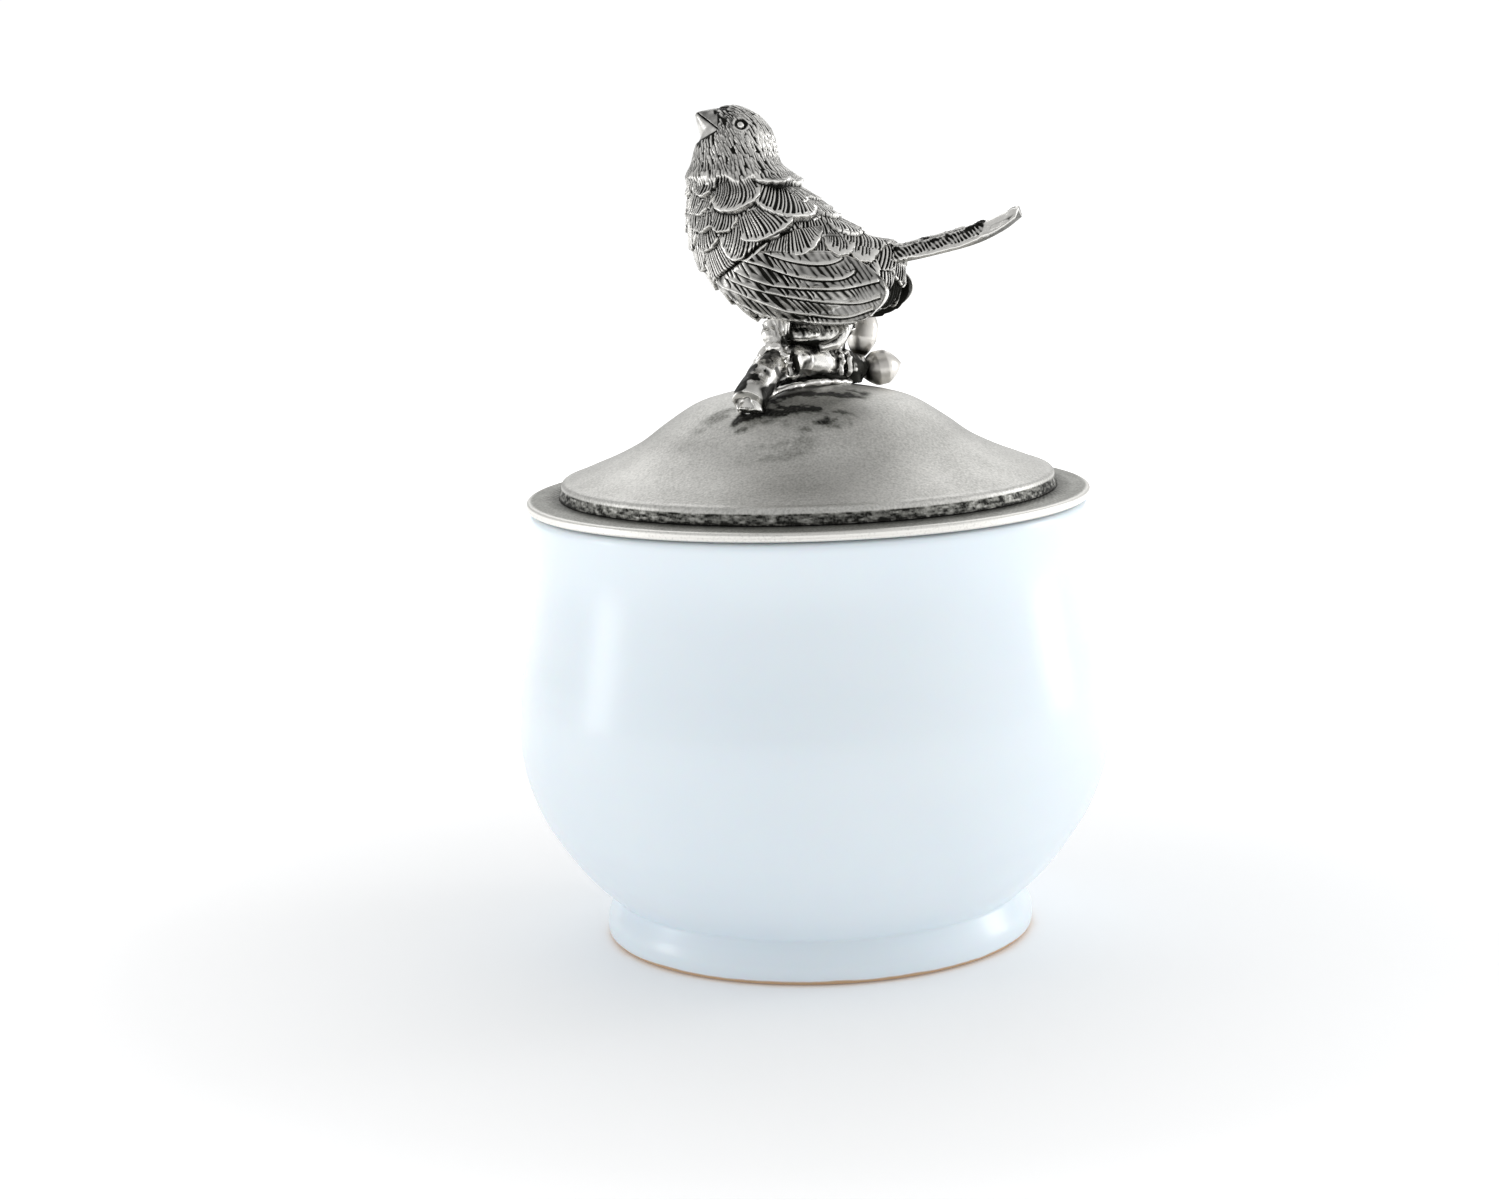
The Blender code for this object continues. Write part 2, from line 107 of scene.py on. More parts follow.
# Lower edges of the wing's long feathers, from the lowest
WING_EDGES = [
    [(-10.6, 105.7), (-6.3, 104.2), (-3.2, 102.9), (0.9, 101.2), (4.9, 100.4), (10.0, 100.1), (14.6, 101.4)],
    [(-8.4, 106.6), (-3.7, 105.0), (-0.1, 104.0), (4.0, 103.0), (8.1, 102.4), (12.1, 102.3), (15.6, 103.2)],
    [(-7.0, 107.7), (-3.1, 106.2), (-0.9, 105.5), (2.0, 105.0), (6.1, 104.6), (10.2, 104.6), (15.2, 105.6)],
    [
        (-5.1, 109.2), (-2.0, 108.4), (0.4, 107.5), (2.9, 106.7), (6.1, 106.1), (9.6, 106.1),
        (11.4, 107.0), (11.2, 107.7),
    ],
    [(-2.4, 110.6), (0.0, 109.7), (2.4, 109.0), (5.2, 108.5), (7.8, 108.5), (9.4, 109.1), (9.3, 109.6)],
]


# ---------------------------------------------------------------- numbers
def smoothstep(x):
    """A soft step: 0 up to 0, and 1 from 1 on."""
    x = np.clip(x, 0.0, 1.0)
    return x * x * (3 - 2 * x)


def past(x, edge, width):
    """0 up to the edge, rising to 1 over the width after it."""
    return smoothstep((x - edge) / width)


def before(x, edge, width):
    """1 that falls over the width before the edge, and 0 from the edge on."""
    return smoothstep((edge - x) / width)


def bump_at(x, centre, width):
    """A bell of height 1."""
    return np.exp(-(((x - centre) / width) ** 2))


def value_noise(points, size):
    """Smooth noise from 0 to 1 at points, with lumps of about this size."""
    q = np.asarray(points, float) / size
    cell = np.floor(q).astype(int)
    f = q - cell
    f = f * f * (3 - 2 * f)
    total = 0.0
    for corner in np.ndindex(2, 2, 2):
        x, y, z = (f[..., k] if corner[k] else 1 - f[..., k] for k in range(3))
        where = tuple((cell[..., k] + corner[k]) % LATTICE_SIZE for k in range(3))
        total = total + x * y * z * LATTICE[where]
    return total


def fractal(points, size, octaves=3):
    """Noise from 0 to 1 with ever finer lumps laid over the first ones."""
    total, weight = 0.0, 0.0
    for k in range(octaves):
        total = total + value_noise(np.asarray(points) + 17.3 * k, size / 2**k) / 2**k
        weight += 1 / 2**k
    return total / weight


def catmull(points, count, even=True):
    """count points along the Catmull-Rom curve through these points, evenly spaced along it."""
    p = np.asarray(points, float)
    p = np.vstack([2 * p[0] - p[1], p, 2 * p[-1] - p[-2]])
    fine = []
    for i in range(1, len(p) - 2):
        t = np.linspace(0, 1, 24, endpoint=False)[:, None]
        a, b, c, d = p[i - 1], p[i], p[i + 1], p[i + 2]
        bend, twist = 2 * a - 5 * b + 4 * c - d, 3 * b - a - 3 * c + d
        fine.append(0.5 * (2 * b + (c - a) * t + bend * t**2 + twist * t**3))
    fine = np.vstack([*fine, p[-2][None]])
    if even:
        walked = np.concatenate([[0], np.cumsum(np.linalg.norm(np.diff(fine, axis=0), axis=1))])
    else:
        walked = np.arange(len(fine), dtype=float)
    at = np.linspace(0, walked[-1], count)
    return np.stack([np.interp(at, walked, fine[:, k]) for k in range(fine.shape[1])], axis=1)


def upsample(grid, rows, columns):
    """A coarse (n, m, k) grid made finer by Catmull-Rom curves both ways."""
    n, m, k = grid.shape
    tall = catmull(grid.reshape(n, m * k), rows, even=False).reshape(rows, m, k)
    wide = catmull(tall.transpose(1, 0, 2).reshape(m, rows * k), columns, even=False)
    return wide.reshape(columns, rows, k).transpose(1, 0, 2)


def unit(v):
    """Vectors of length 1."""
    return v / np.maximum(np.linalg.norm(v, axis=-1, keepdims=True), 1e-12)


def rotate_z(points, angle):
    c, s = np.cos(angle), np.sin(angle)
    x, y = points[..., 0], points[..., 1]
    return np.stack([x * c - y * s, x * s + y * c, points[..., 2]], axis=-1)


def turn_head(points):
    """Points of the bird, turned about the neck as far as their height asks."""
    share = smoothstep((points[..., 2] - TWIST_FROM) / (TWIST_TO - TWIST_FROM))
    return rotate_z(points - NECK_PIVOT, HEAD_TURN * share) + NECK_PIVOT


def in_place(points):
    """Points from the bird's frame in the row's frame."""
    return rotate_z(points, BIRD_TURN)


# ---------------------------------------------------------------- meshes
def grid_faces(rows, columns, wrap):
    """Quads of a grid. wrap closes its columns into a tube."""
    across = columns if wrap else columns - 1
    i, j = np.meshgrid(np.arange(rows - 1), np.arange(across), indexing="ij")
    k = (j + 1) % columns
    corners = [i * columns + j, i * columns + k, (i + 1) * columns + k, (i + 1) * columns + j]
    return np.stack(corners, axis=-1).reshape(-1, 4)


def make_mesh(name, points, faces, extra=()):
    """A mesh in metres from points in millimetres, quads and other faces, with its normals pointing out."""
    mesh = bpy.data.meshes.new(name)
    mesh.from_pydata((np.asarray(points) * MM).tolist(), [], [list(f) for f in faces] + [list(f) for f in extra])
    bm = bmesh.new()
    bm.from_mesh(mesh)
    bmesh.ops.recalc_face_normals(bm, faces=bm.faces)
    bm.to_mesh(mesh)
    bm.free()
    mesh.shade_smooth()
    return mesh


def tube_mesh(name, grid):
    """A closed mesh from rings of points, with both ends filled."""
    rows, columns, _ = grid.shape
    caps = [list(range(columns)), list(range((rows - 1) * columns, rows * columns))]
    return make_mesh(name, grid.reshape(-1, 3), grid_faces(rows, columns, True), caps)


def grid_normals(grid, wrap):
    """Unit normals of a grid of points, by its neighbours."""
    if wrap:
        across = np.roll(grid, -1, axis=1) - np.roll(grid, 1, axis=1)
    else:
        across = np.gradient(grid, axis=1)
    along = np.gradient(grid, axis=0)
    return unit(np.cross(across, along))


def add_object(name, data):
    obj = bpy.data.objects.new(name, data)
    bpy.context.scene.collection.objects.link(obj)
    return obj


def place(name, mesh, material, replaced, body="lid"):
    """Adds a finished piece, which rides on its body and stands in for the CAD node."""
    obj = add_object(name, mesh)
    mesh.materials.append(material)
    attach(obj, body)
    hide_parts(replaced)


def read_mesh(mesh):
    """(points, edges, normals) of a mesh, in millimetres."""
    points = np.empty(len(mesh.vertices) * 3)
    mesh.vertices.foreach_get("co", points)
    edges = np.empty(len(mesh.edges) * 2, int)
    mesh.edges.foreach_get("vertices", edges)
    normals = np.empty(len(mesh.vertices) * 3)
    mesh.vertices.foreach_get("normal", normals)
    return points.reshape(-1, 3) / MM, edges.reshape(-1, 2), normals.reshape(-1, 3)


def hollows(mesh, rounds):
    """How many millimetres each vertex lies below its neighbourhood: above 0 in a hollow, below 0 on a ridge."""
    points, edges, normals = read_mesh(mesh)
    count = np.bincount(edges.ravel(), minlength=len(points))[:, None]
    spread = points.copy()
    for _ in range(rounds):
        total = np.stack([
            np.bincount(edges[:, 0], spread[edges[:, 1], k], len(points))
            + np.bincount(edges[:, 1], spread[edges[:, 0], k], len(points))
            for k in range(3)
        ], axis=1)
        spread = 0.4 * spread + 0.6 * total / count
    return np.einsum("ij,ij->i", spread - points, normals)


def store(mesh, name, values):
    """A number at each vertex, for a material to read."""
    layer = mesh.attributes.new(name, "FLOAT", "POINT")
    layer.data.foreach_set("value", np.asarray(values, np.float32))


def age(mesh, fine, broad, base=0.25, extra=None):
    """Stores how dark the patina is: it stays in hollows and is rubbed off ridges. extra adds darkness, which on
    some pieces is painted shade.
    """
    near, far = hollows(mesh, 3), hollows(mesh, 14)
    tone = base + near / fine + far / broad
    if extra is not None:
        tone = tone + extra
    store(mesh, "patina", np.clip(tone, 0.0, 1.0))


# ---------------------------------------------------------------- materials
def material(name, **settings):
    """A new material, its tree, and its shader with these inputs set. A key's underscores stand for spaces."""
    made = bpy.data.materials.new(name)
    made.use_nodes = True
    tree = made.node_tree
    shader = tree.nodes["Principled BSDF"]
    for key, value in settings.items():
        shader.inputs[key.replace("_", " ")].default_value = value
    return made, tree, shader


def node(tree, kind, **settings):
    """A new node with these inputs or properties set."""
    made = tree.nodes.new(kind)
    for key, value in settings.items():
        if key in made.inputs:
            made.inputs[key].default_value = value
        else:
            setattr(made, key, value)
    return made


def ramp(tree, source, stops, target):
    """A colour ramp between two sockets. Each stop is (place, colour) or (place, grey)."""
    made = tree.nodes.new("ShaderNodeValToRGB")
    elements = made.color_ramp.elements
    while len(elements) < len(stops):
        elements.new(0.5)
    for element, (at, colour) in zip(elements, stops):
        element.position = at
        element.color = (*colour, 1) if isinstance(colour, tuple) else (colour, colour, colour, 1)
    tree.links.new(source, made.inputs["Fac"])
    tree.links.new(made.outputs["Color"], target)


def object_noise(tree, scale, detail=3.0, roughness=0.55):
    """Noise in the object's own coordinates. scale is in lumps per metre."""
    where = node(tree, "ShaderNodeTexCoord")
    made = node(tree, "ShaderNodeTexNoise", Scale=scale, Detail=detail, Roughness=roughness)
    tree.links.new(where.outputs["Object"], made.inputs["Vector"])
    return made.outputs["Fac"]


def math_node(tree, operation, a, b, clamp=False):
    """The result of a sum on two sockets or numbers."""
    made = node(tree, "ShaderNodeMath", operation=operation, use_clamp=clamp)
    for socket, value in zip(made.inputs, (a, b)):
        if isinstance(value, (int, float)):
            socket.default_value = value
        else:
            tree.links.new(value, socket)
    return made.outputs["Value"]


def add_bump(tree, shader, height, distance, strength):
    made = node(tree, "ShaderNodeBump", Strength=strength, Distance=distance)
    tree.links.new(height, made.inputs["Height"])
    tree.links.new(made.outputs["Normal"], shader.inputs["Normal"])


def aged_pewter(name, stops, roughness, mottles, grain, distance, strength):
    """Pewter that darkens by its stops where the vertices' patina asks for it.

    Each mottle is the scale, detail, roughness and strength of a noise that is laid over the patina.
    """
    made, tree, shader = material(name, Metallic=1.0)
    shade = node(tree, "ShaderNodeAttribute", attribute_name="patina").outputs["Fac"]
    for k, (scale, detail, rough, amount) in enumerate(mottles):
        centred = math_node(tree, "SUBTRACT", object_noise(tree, scale, detail, rough), 0.5)
        is_last = k == len(mottles) - 1
        shade = math_node(tree, "ADD", shade, math_node(tree, "MULTIPLY", centred, amount), is_last)
    ramp(tree, shade, stops, shader.inputs["Base Color"])
    ramp(tree, shade, [(0.0, roughness[0]), (1.0, roughness[1])], shader.inputs["Roughness"])
    add_bump(tree, shader, object_noise(tree, grain, 2.0), distance, strength)
    return made


def cast_pewter(name, bright, dark, roughness, grain, mottling):
    """The finial's pewter, from bright to its black patina."""
    middle = tuple(b * 0.42 + d * 0.58 for b, d in zip(bright, dark))
    stops = [(0.0, bright), (0.45, middle), (0.85, dark)]
    return aged_pewter(name, stops, roughness, [(900.0, 4.0, 0.6, mottling)], grain, 0.00003, 0.6)


def satin_pewter(name):
    """The lid's fine-grained pewter, clouded and speckled."""
    stops = [
        (0.0, (0.80, 0.79, 0.755)), (0.25, (0.60, 0.595, 0.57)), (0.6, (0.26, 0.26, 0.24)),
        (1.0, (0.02, 0.02, 0.018)),
    ]
    mottles = [(110.0, 5.0, 0.6, 0.28), (2600.0, 1.0, 0.55, 0.5)]
    return aged_pewter(name, stops, (0.40, 0.60), mottles, 3600.0, 0.00004, 0.8)


def glazed_stoneware(name):
    """A white glaze with a cool tint over a tan clay that shows along the foot's edge."""
    glaze_edge, edge_sharpness, edge_wander = 0.0009, 3500.0, 0.0007
    made, tree, shader = material(name, Subsurface_Weight=0.12, Subsurface_Scale=0.002)
    where = node(tree, "ShaderNodeTexCoord")
    split = node(tree, "ShaderNodeSeparateXYZ")
    tree.links.new(where.outputs["Object"], split.inputs[0])
    wander = math_node(tree, "MULTIPLY", object_noise(tree, 140.0), edge_wander)
    height = math_node(tree, "ADD", split.outputs["Z"], wander)
    over_edge = math_node(tree, "SUBTRACT", height, glaze_edge)
    glazed = math_node(tree, "MULTIPLY", over_edge, edge_sharpness, True)
    bare = math_node(tree, "SUBTRACT", 1.0, glazed, True)
    mix = node(tree, "ShaderNodeMix", data_type="RGBA")
    cool_white = [(0.3, (0.815, 0.905, 0.985)), (0.7, (0.845, 0.93, 0.995))]
    ramp(tree, object_noise(tree, 26.0), cool_white, mix.inputs["A"])
    tree.links.new(bare, mix.inputs["Factor"])
    mix.inputs["B"].default_value = (0.62, 0.42, 0.26, 1)
    tree.links.new(mix.outputs["Result"], shader.inputs["Base Color"])
    ramp(tree, bare, [(0.0, 0.26), (1.0, 0.75)], shader.inputs["Roughness"])
    add_bump(tree, shader, object_noise(tree, 60.0), 0.00025, 0.35)
    return made


def plain(name, colour, roughness, metallic):
    """A fine-grained finish for the pieces that the lid hides."""
    made, tree, shader = material(name, Metallic=metallic)
    shade = object_noise(tree, 400.0)
    low, high = tuple(0.85 * c for c in colour), colour
    ramp(tree, shade, [(0.3, low), (0.7, high)], shader.inputs["Base Color"])
    ramp(tree, shade, [(0.0, roughness * 0.85), (1.0, roughness * 1.15)], shader.inputs["Roughness"])
    add_bump(tree, shader, object_noise(tree, 2500.0, 2.0), 0.00003, 0.5)
    return made


# ---------------------------------------------------------------- feathers
def lay_scallop(relief, points, normals, root, along, normal, length, half, rim_width, spacing, lift, rng):
    """Adds one broad feather with a round tip to the relief, where it stands above what is there."""
    side = np.cross(normal, along)
    d = points - root
    reach = max(length, half) + 1.0
    near = np.flatnonzero((np.abs(d) < reach).all(axis=1))
    near = near[normals[near] @ normal > 0.2]
    if not len(near):
        return
    d = d[near]
    a, b = d @ along / length, d @ side / half
    b = b + 0.08 * np.sin(3.0 * a + rng.uniform(0, 6))
    shoulder = 0.22
    r = np.where(a > shoulder, np.hypot(b, (a - shoulder) / (1 - shoulder)), np.abs(b))
    edge = (1 - r) * min(half, length * (1 - shoulder))
    round_the_tip = np.arctan2(b, a - shoulder)
    edge = edge + 0.07 * np.sin(7 * round_the_tip + rng.uniform(0, 6))
    edge = edge + 0.05 * np.sin(17 * round_the_tip + rng.uniform(0, 6))
    lift = lift * rng.uniform(0.85, 1.15)
    rise = np.clip(a, 0, 1)
    swell = (0.45 + 0.08 * half) * lift
    crown = 1 - np.clip(b * b, 0, 1)
    height = lift * (0.15 + 0.85 * rise) * smoothstep(edge / 0.26) + swell * crown * rise * (1.15 - rise * 0.5)
    rim = 0.13 * min(1.0, lift / 0.75) * bump_at(edge, 0.10 + 0.5 * rim_width, 0.45 * rim_width + 0.08)
    rim = rim * past(a, 0.25, 0.25)
    height = height + rim - 0.05 * (a < 0)
    wins = (a > -0.15) & (edge > 0) & (height > relief["height"][near])
    fan = b * half / (0.55 + 0.45 * np.clip(a, 0, 1))
    fan = fan + rng.uniform(1.0, 1.9) * (1 if rng.uniform() < 0.75 else -1) * a * a
    phase = 2 * np.pi * fan / spacing + 0.9 * np.sin(2.1 * fan + rng.uniform(0, 6)) + 0.5 * np.sin(5.3 * fan)
    groove = (0.5 + 0.5 * np.cos(phase)) ** 1.5
    ragged = 0.22 * np.sin(phase / 2 + 1.0) + 0.12 * np.sin(phase / 3)
    window = smoothstep((edge - rim_width + ragged) / 0.25) * past(a, -0.05, 0.2)
    chosen = near[wins]
    relief["height"][chosen] = height[wins]
    relief["groove"][chosen] = (groove * window)[wins]
    relief["rim"][chosen] = (rim + 0.16 * crown * rise**1.5)[wins]


def lay_hair(relief, points, normals, root, along, normal, length, half, strength):
    """Adds one hair-like stroke to the relief."""
    side = np.cross(normal, along)
    d = points - root
    near = np.flatnonzero((np.abs(d) < length + 0.3).all(axis=1))
    d = d[near]
    a, b = d @ along / length, d @ side / half
    inside = (a > 0) & (a < 1) & (np.abs(b) < 1) & (normals[near] @ normal > 0.3)
    height = 0.22 * (1 - b * b) * smoothstep(a / 0.35) * (1 - 0.5 * a) * before(a, 1, 0.2)
    height = 0.2 + (height - 0.1) * strength
    wins = inside & (height > relief["hair"][near])
    relief["hair"][near[wins]] = height[wins]


def inside_wing(points, margin):
    """1 where the wing's plate covers the body, in side view."""
    low, high = catmull(WING_LOWER, 60), catmull(WING_UPPER, 60)
    x, z = points[:, 0], points[:, 2]
    floor, ceiling = np.interp(x, low[:, 0], low[:, 1]), np.interp(x, high[:, 0], high[:, 1])
    across = smoothstep((z - floor - margin) / 0.6) * smoothstep((ceiling - margin - z) / 0.8)
    along = smoothstep((x - low[0, 0] - margin) / 0.8) * before(x, 12.5, 1.5)
    return across * along * (np.abs(points[:, 1]) > 4.0)


def body_grid():
    """The smooth body with its beak, as rings in the bird's frame."""
    rows = catmull(BODY_STATIONS, BODY_ROWS)
    angle = np.linspace(0, 2 * np.pi, BODY_ROUND, endpoint=False)
    centre_x, centre_z = (rows[:, 0] + rows[:, 2]) / 2, (rows[:, 1] + rows[:, 3]) / 2
    half_x, half_z = (rows[:, 0] - rows[:, 2]) / 2, (rows[:, 1] - rows[:, 3]) / 2
    grid = np.stack([
        centre_x[:, None] + half_x[:, None] * np.cos(angle),
        rows[:, 4][:, None] * np.sin(angle),
        centre_z[:, None] + half_z[:, None] * np.cos(angle),
    ], axis=-1)
    first, last = grid[0], grid[-1]
    start, end = first.mean(axis=0), last.mean(axis=0)
    front = [start + (first - start) * share for share in (0.05, 0.4, 0.75)]
    back = [end + (last - end) * share for share in (0.6, 0.1)]
    return np.concatenate([np.array(front), grid, np.array(back)])


def flank_feathers(tree):
    """Yields root, direction, normal, length and half width of each broad feather of both flanks."""
    for root_x, root_z, tip_x, tip_z, half in FLANK_FEATHERS:
        for sign in (-1, 1):
            ends = []
            for x, z in ((root_x, root_z), (tip_x, tip_z)):
                hit, normal, *_ = tree.ray_cast(Vector((x, 40.0 * sign, z)), Vector((0, -sign, 0)))
                if hit is None:
                    break
                ends.append((np.array(hit), np.array(normal)))
            if len(ends) < 2:
                continue
            (root, root_normal), (tip, tip_normal) = ends
            if root_normal[1] * sign < 0:
                root_normal, tip_normal = -root_normal, -tip_normal
            normal = unit(root_normal * 0.4 + tip_normal * 0.6)
            along = tip - root
            along = along - normal * float(along @ normal)
            length = np.linalg.norm(along)
            yield root, along / length, normal, length, half


def feather_rows(tree, points):
    """Yields root, direction, normal, length, half width and lift of each scalloped feather."""
    lean = np.array([-math.sin(FEATHER_TILT), 0, math.cos(FEATHER_TILT)])
    level = points @ lean
    ahead = np.array([math.cos(FEATHER_TILT), 0, math.sin(FEATHER_TILT)])
    aside = np.array([0.0, 1.0, 0.0])
    for row, (height, half, length) in enumerate(FEATHER_ROWS):
        ring = points[np.abs(level - height) < 0.4]
        centre = (ring.min(axis=0) + ring.max(axis=0)) / 2
        found = []
        for turn in np.linspace(0, 2 * np.pi, 240, endpoint=False):
            out = ahead * math.cos(turn) + aside * math.sin(turn)
            hit, normal, *_ = tree.ray_cast(Vector(centre), Vector(out))
            if hit is not None:
                found.append((np.array(hit), np.array(normal)))
        spots = np.array([f[0] for f in found])
        walked = np.concatenate([[0], np.cumsum(np.linalg.norm(np.diff(spots, axis=0), axis=1))])
        half, length = 1.22 * half, 1.15 * length
        many = max(4, round(walked[-1] / (1.62 * half)))
        for k in range(many):
            at = (k + 0.5 * (row % 2) + RNG.uniform(-0.12, 0.12)) / many * walked[-1]
            spot, normal = found[int(np.argmin(np.abs(walked - at)))]
            down = -lean - normal * float(-lean @ normal)
            if np.linalg.norm(down) < 0.3:
                continue
            down = unit(down)
            lean_side = np.cross(normal, down)
            down = unit(down + lean_side * RNG.uniform(-0.16, 0.16))
            scale = RNG.uniform(0.9, 1.12)
            tip = spot - down * RNG.uniform(-0.3, 0.5)
            on_flank = abs(spot[1]) > 4.8 and -12.8 < spot[0] < 11.5 and spot[2] > 105.5
            lift = 0.10 if on_flank else 0.52
            yield tip - down * length * scale, down, normal, length * scale, half * scale, lift


def make_body(metal):
    """The body and head with their feathers, eyes and beak. Returns a tree of the smooth body, for the wings."""
    grid = body_grid()
    rows, columns, _ = grid.shape
    untwisted = grid.reshape(-1, 3)
    grid = turn_head(grid)
    normals = grid_normals(grid, True).reshape(-1, 3)
    points = grid.reshape(-1, 3)
    middle = points.mean(axis=0)
    if np.mean(np.einsum("ij,ij->i", normals, points - middle)) < 0:
        normals = -normals
    coarse = grid[::6, ::10]
    tree = BVHTree.FromPolygons(
        [Vector(p) for p in coarse.reshape(-1, 3)], grid_faces(coarse.shape[0], coarse.shape[1], True).tolist()
    )
    relief = {k: np.zeros(len(points)) for k in ("height", "groove", "rim", "hair")}
    for root, along, normal, length, half, lift in feather_rows(tree, points):
        if normal @ (root - middle) < 0:
            normal = -normal
        spacing = RNG.uniform(0.68, 0.82)
        lay_scallop(relief, points, normals, root, along, normal, length, half, 0.22, spacing, lift, RNG)
    for root, along, normal, length, half in flank_feathers(tree):
        rim_width = RNG.uniform(0.55, 0.95) if root[0] > -9 else 0.25
        spacing = RNG.uniform(0.66, 0.80)
        length, half = length * 1.14, half * 1.20
        lay_scallop(relief, points, normals, root, along, normal, length, half, rim_width, spacing, 0.75, RNG)
    x, y, z = untwisted.T
    cheek = np.where(z > 129.5, -13.0, -13.0 - 1.75 * (129.5 - z))
    on_beak = smoothstep((cheek - x) / 0.4 + 0.5) * past(z, 127.6, 0.3)
    neck_line = 121.0 + 0.6 * np.sin(points[:, 0] * 1.1) + 0.05 * (points[:, 0] + 9.0)
    hairy = smoothstep((points[:, 2] - neck_line) / 0.9)
    hair_zone = np.flatnonzero((points[:, 2] > 118.5) & (on_beak < 1))
    zone_points, zone_normals = points[hair_zone], normals[hair_zone]
    beak_root = turn_head(np.array([-13.6, 0.0, 130.4]))
    hair = {"hair": np.zeros(len(hair_zone))}
    patch = np.cross(np.roll(grid, -1, axis=1) - grid, np.gradient(grid, axis=0))
    patch = np.linalg.norm(patch, axis=2).reshape(-1)[hair_zone]
    for k in RNG.choice(len(hair_zone), 2300, p=patch / patch.sum()):
        if zone_points[k, 2] < 121.3:
            continue
        away = unit(zone_points[k] - beak_root) * 0.55 + np.array([0.16, 0, -0.62])
        normal = zone_normals[k]
        away = unit(away - normal * (away @ normal))
        on_mane = zone_points[k, 2] < 124.0
        length = RNG.uniform(2.6, 3.8) if on_mane else RNG.uniform(2.0, 3.4)
        half = RNG.uniform(0.32, 0.44) if on_mane else RNG.uniform(0.25, 0.36)
        away = unit(away + np.cross(normal, away) * RNG.uniform(-0.2, 0.2))
        smooth_crown = 1 - 0.75 * smoothstep((zone_points[k] @ np.array([0.75, 0, 0.66]) - 81.2) / 2.5)
        lay_hair(hair, zone_points, zone_normals, zone_points[k], away, normal, length, half, smooth_crown)
    relief["hair"][hair_zone] = np.maximum(hair["hair"], 0.15)
    covered = inside_wing(untwisted, 0.5)
    scallops = (relief["height"] - 0.26 * relief["groove"]) * (1 - covered)
    offset = (1.15 * scallops - 0.55) * (1 - hairy) + hairy * (relief["hair"] * 2.0 - 0.34)
    # a mane of longer strokes ends in a ledge over the first row of feathers
    offset += 0.45 * bump_at(points[:, 2], 122.2, 1.1) * (1 - on_beak)
    signed, share = distance_to_curve(x, z, catmull(WING_CREASE, 50))
    crease = bump_at(signed, 0, 0.40 - 0.22 * share) * before(share, 1, 0.12) * (np.abs(y) > 4)
    offset = offset - 0.6 * crease
    # the beak: the mouth runs from its tip down to the cheek
    mouth = 132.35 - 0.82 * (x + 16.5)
    near_beak = smoothstep((-12.6 - x) / 0.5) * (z > 127.5) * (z < 133)
    gape = bump_at(z - mouth, 0.0, 0.14) * near_beak
    offset = offset * (1 - on_beak) - 0.28 * gape * past(x, -16.4, 0.6)
    nostril = bump_at(np.hypot(x + 13.4, z - 132.1), 0, 0.26) * (np.abs(y) > 0.5)
    offset -= 0.3 * nostril
    # the eye: a ball in a ring
    tone = np.zeros(len(points))
    for sign in (-1, 1):
        from_x, from_z = x - EYE[0], z - EYE[1]
        r = np.hypot(from_x * 0.94 - from_z * 0.34, (from_z * 0.94 + from_x * 0.34) * 1.3)
        here = (y * sign > 0) & (r < 2.2) & (z > 126)
        ball = 0.5 * np.sqrt(np.clip(1 - (r / 0.62) ** 2, 0, 1))
        eye = 0.14 * bump_at(r, 1.25, 0.3) + ball - 0.22 * before(r, 1.1, 0.3)
        share = before(r, 1.7, 0.5)
        offset = np.where(here, offset * (1 - share) + eye * share, offset)
        rear_side = 0.55 + 0.45 * np.tanh(1.6 * from_x + 0.8 * from_z)
        tone = np.where(here, 1.3 * bump_at(r, 0.86, 0.20) * rear_side - 0.25 * bump_at(r, 1.3, 0.3), tone)
    offset += 0.10 * (fractal(points, 1.3) - 0.5) * (1 - on_beak)
    moved = points + normals * offset[:, None]
    mesh = tube_mesh("bird_body", in_place(moved.reshape(rows, columns, 3)))
    tone += 1.75 * relief["groove"] * (1 - hairy) * (1 - covered) - 1.6 * relief["rim"] * (1 - hairy)
    cloudy = fractal(points * np.array([0.8, 0.8, 1.0]) + 17.0, 3.2, 2)
    blotches = 0.30 * past(cloudy, 0.55, 0.12) - 0.22 * before(cloudy, 0.45, 0.12)
    tone += blotches * (1 - on_beak) * (1 - 0.6 * hairy)
    tone += 0.95 * hairy * before(relief["hair"], 0.235, 0.07) * (1 - on_beak)
    tone += 0.7 * gape + 0.6 * nostril + 0.8 * crease - 0.35 * hairy * (1 - on_beak) * (relief["hair"] > 0.27)
    lower = smoothstep((mouth - 0.2 - z) / 0.3) * near_beak
    tone += on_beak * (0.10 - 0.30 * lower + 0.5 * (fractal(points, 1.1) - 0.5))
    # painted shade on the body where the wing covers it
    tone += 0.30 * covered
    # the forehead is darker and the cheek behind the eye lighter; the fold under the mane has a painted shadow
    forehead, bright_cheek = np.hypot(x + 11.8, (z - 131.2) * 1.2), np.hypot(x + 6.9, z - 127.4)
    face = 0.32 * bump_at(forehead, 0, 1.9) - 0.32 * bump_at(bright_cheek, 0, 2.2)
    tone += face * hairy * (1 - on_beak) + 0.55 * bump_at(points[:, 2] - neck_line, -0.35, 0.45)
    # the hollow under the tail, between the tips of the wings, is painted dark as shade
    hollow = past(x, 10.8, 2.0) * before(z, 105.6, 1.5) * (np.abs(y) < 7)
    tone += hollow * (1.1 + 0.8 * (fractal(points, 1.6) - 0.5))
    age(mesh, 0.085, 0.32, 0.42, tone)
    place("bird_body_cast", mesh, metal, "bird_body")
    return tree


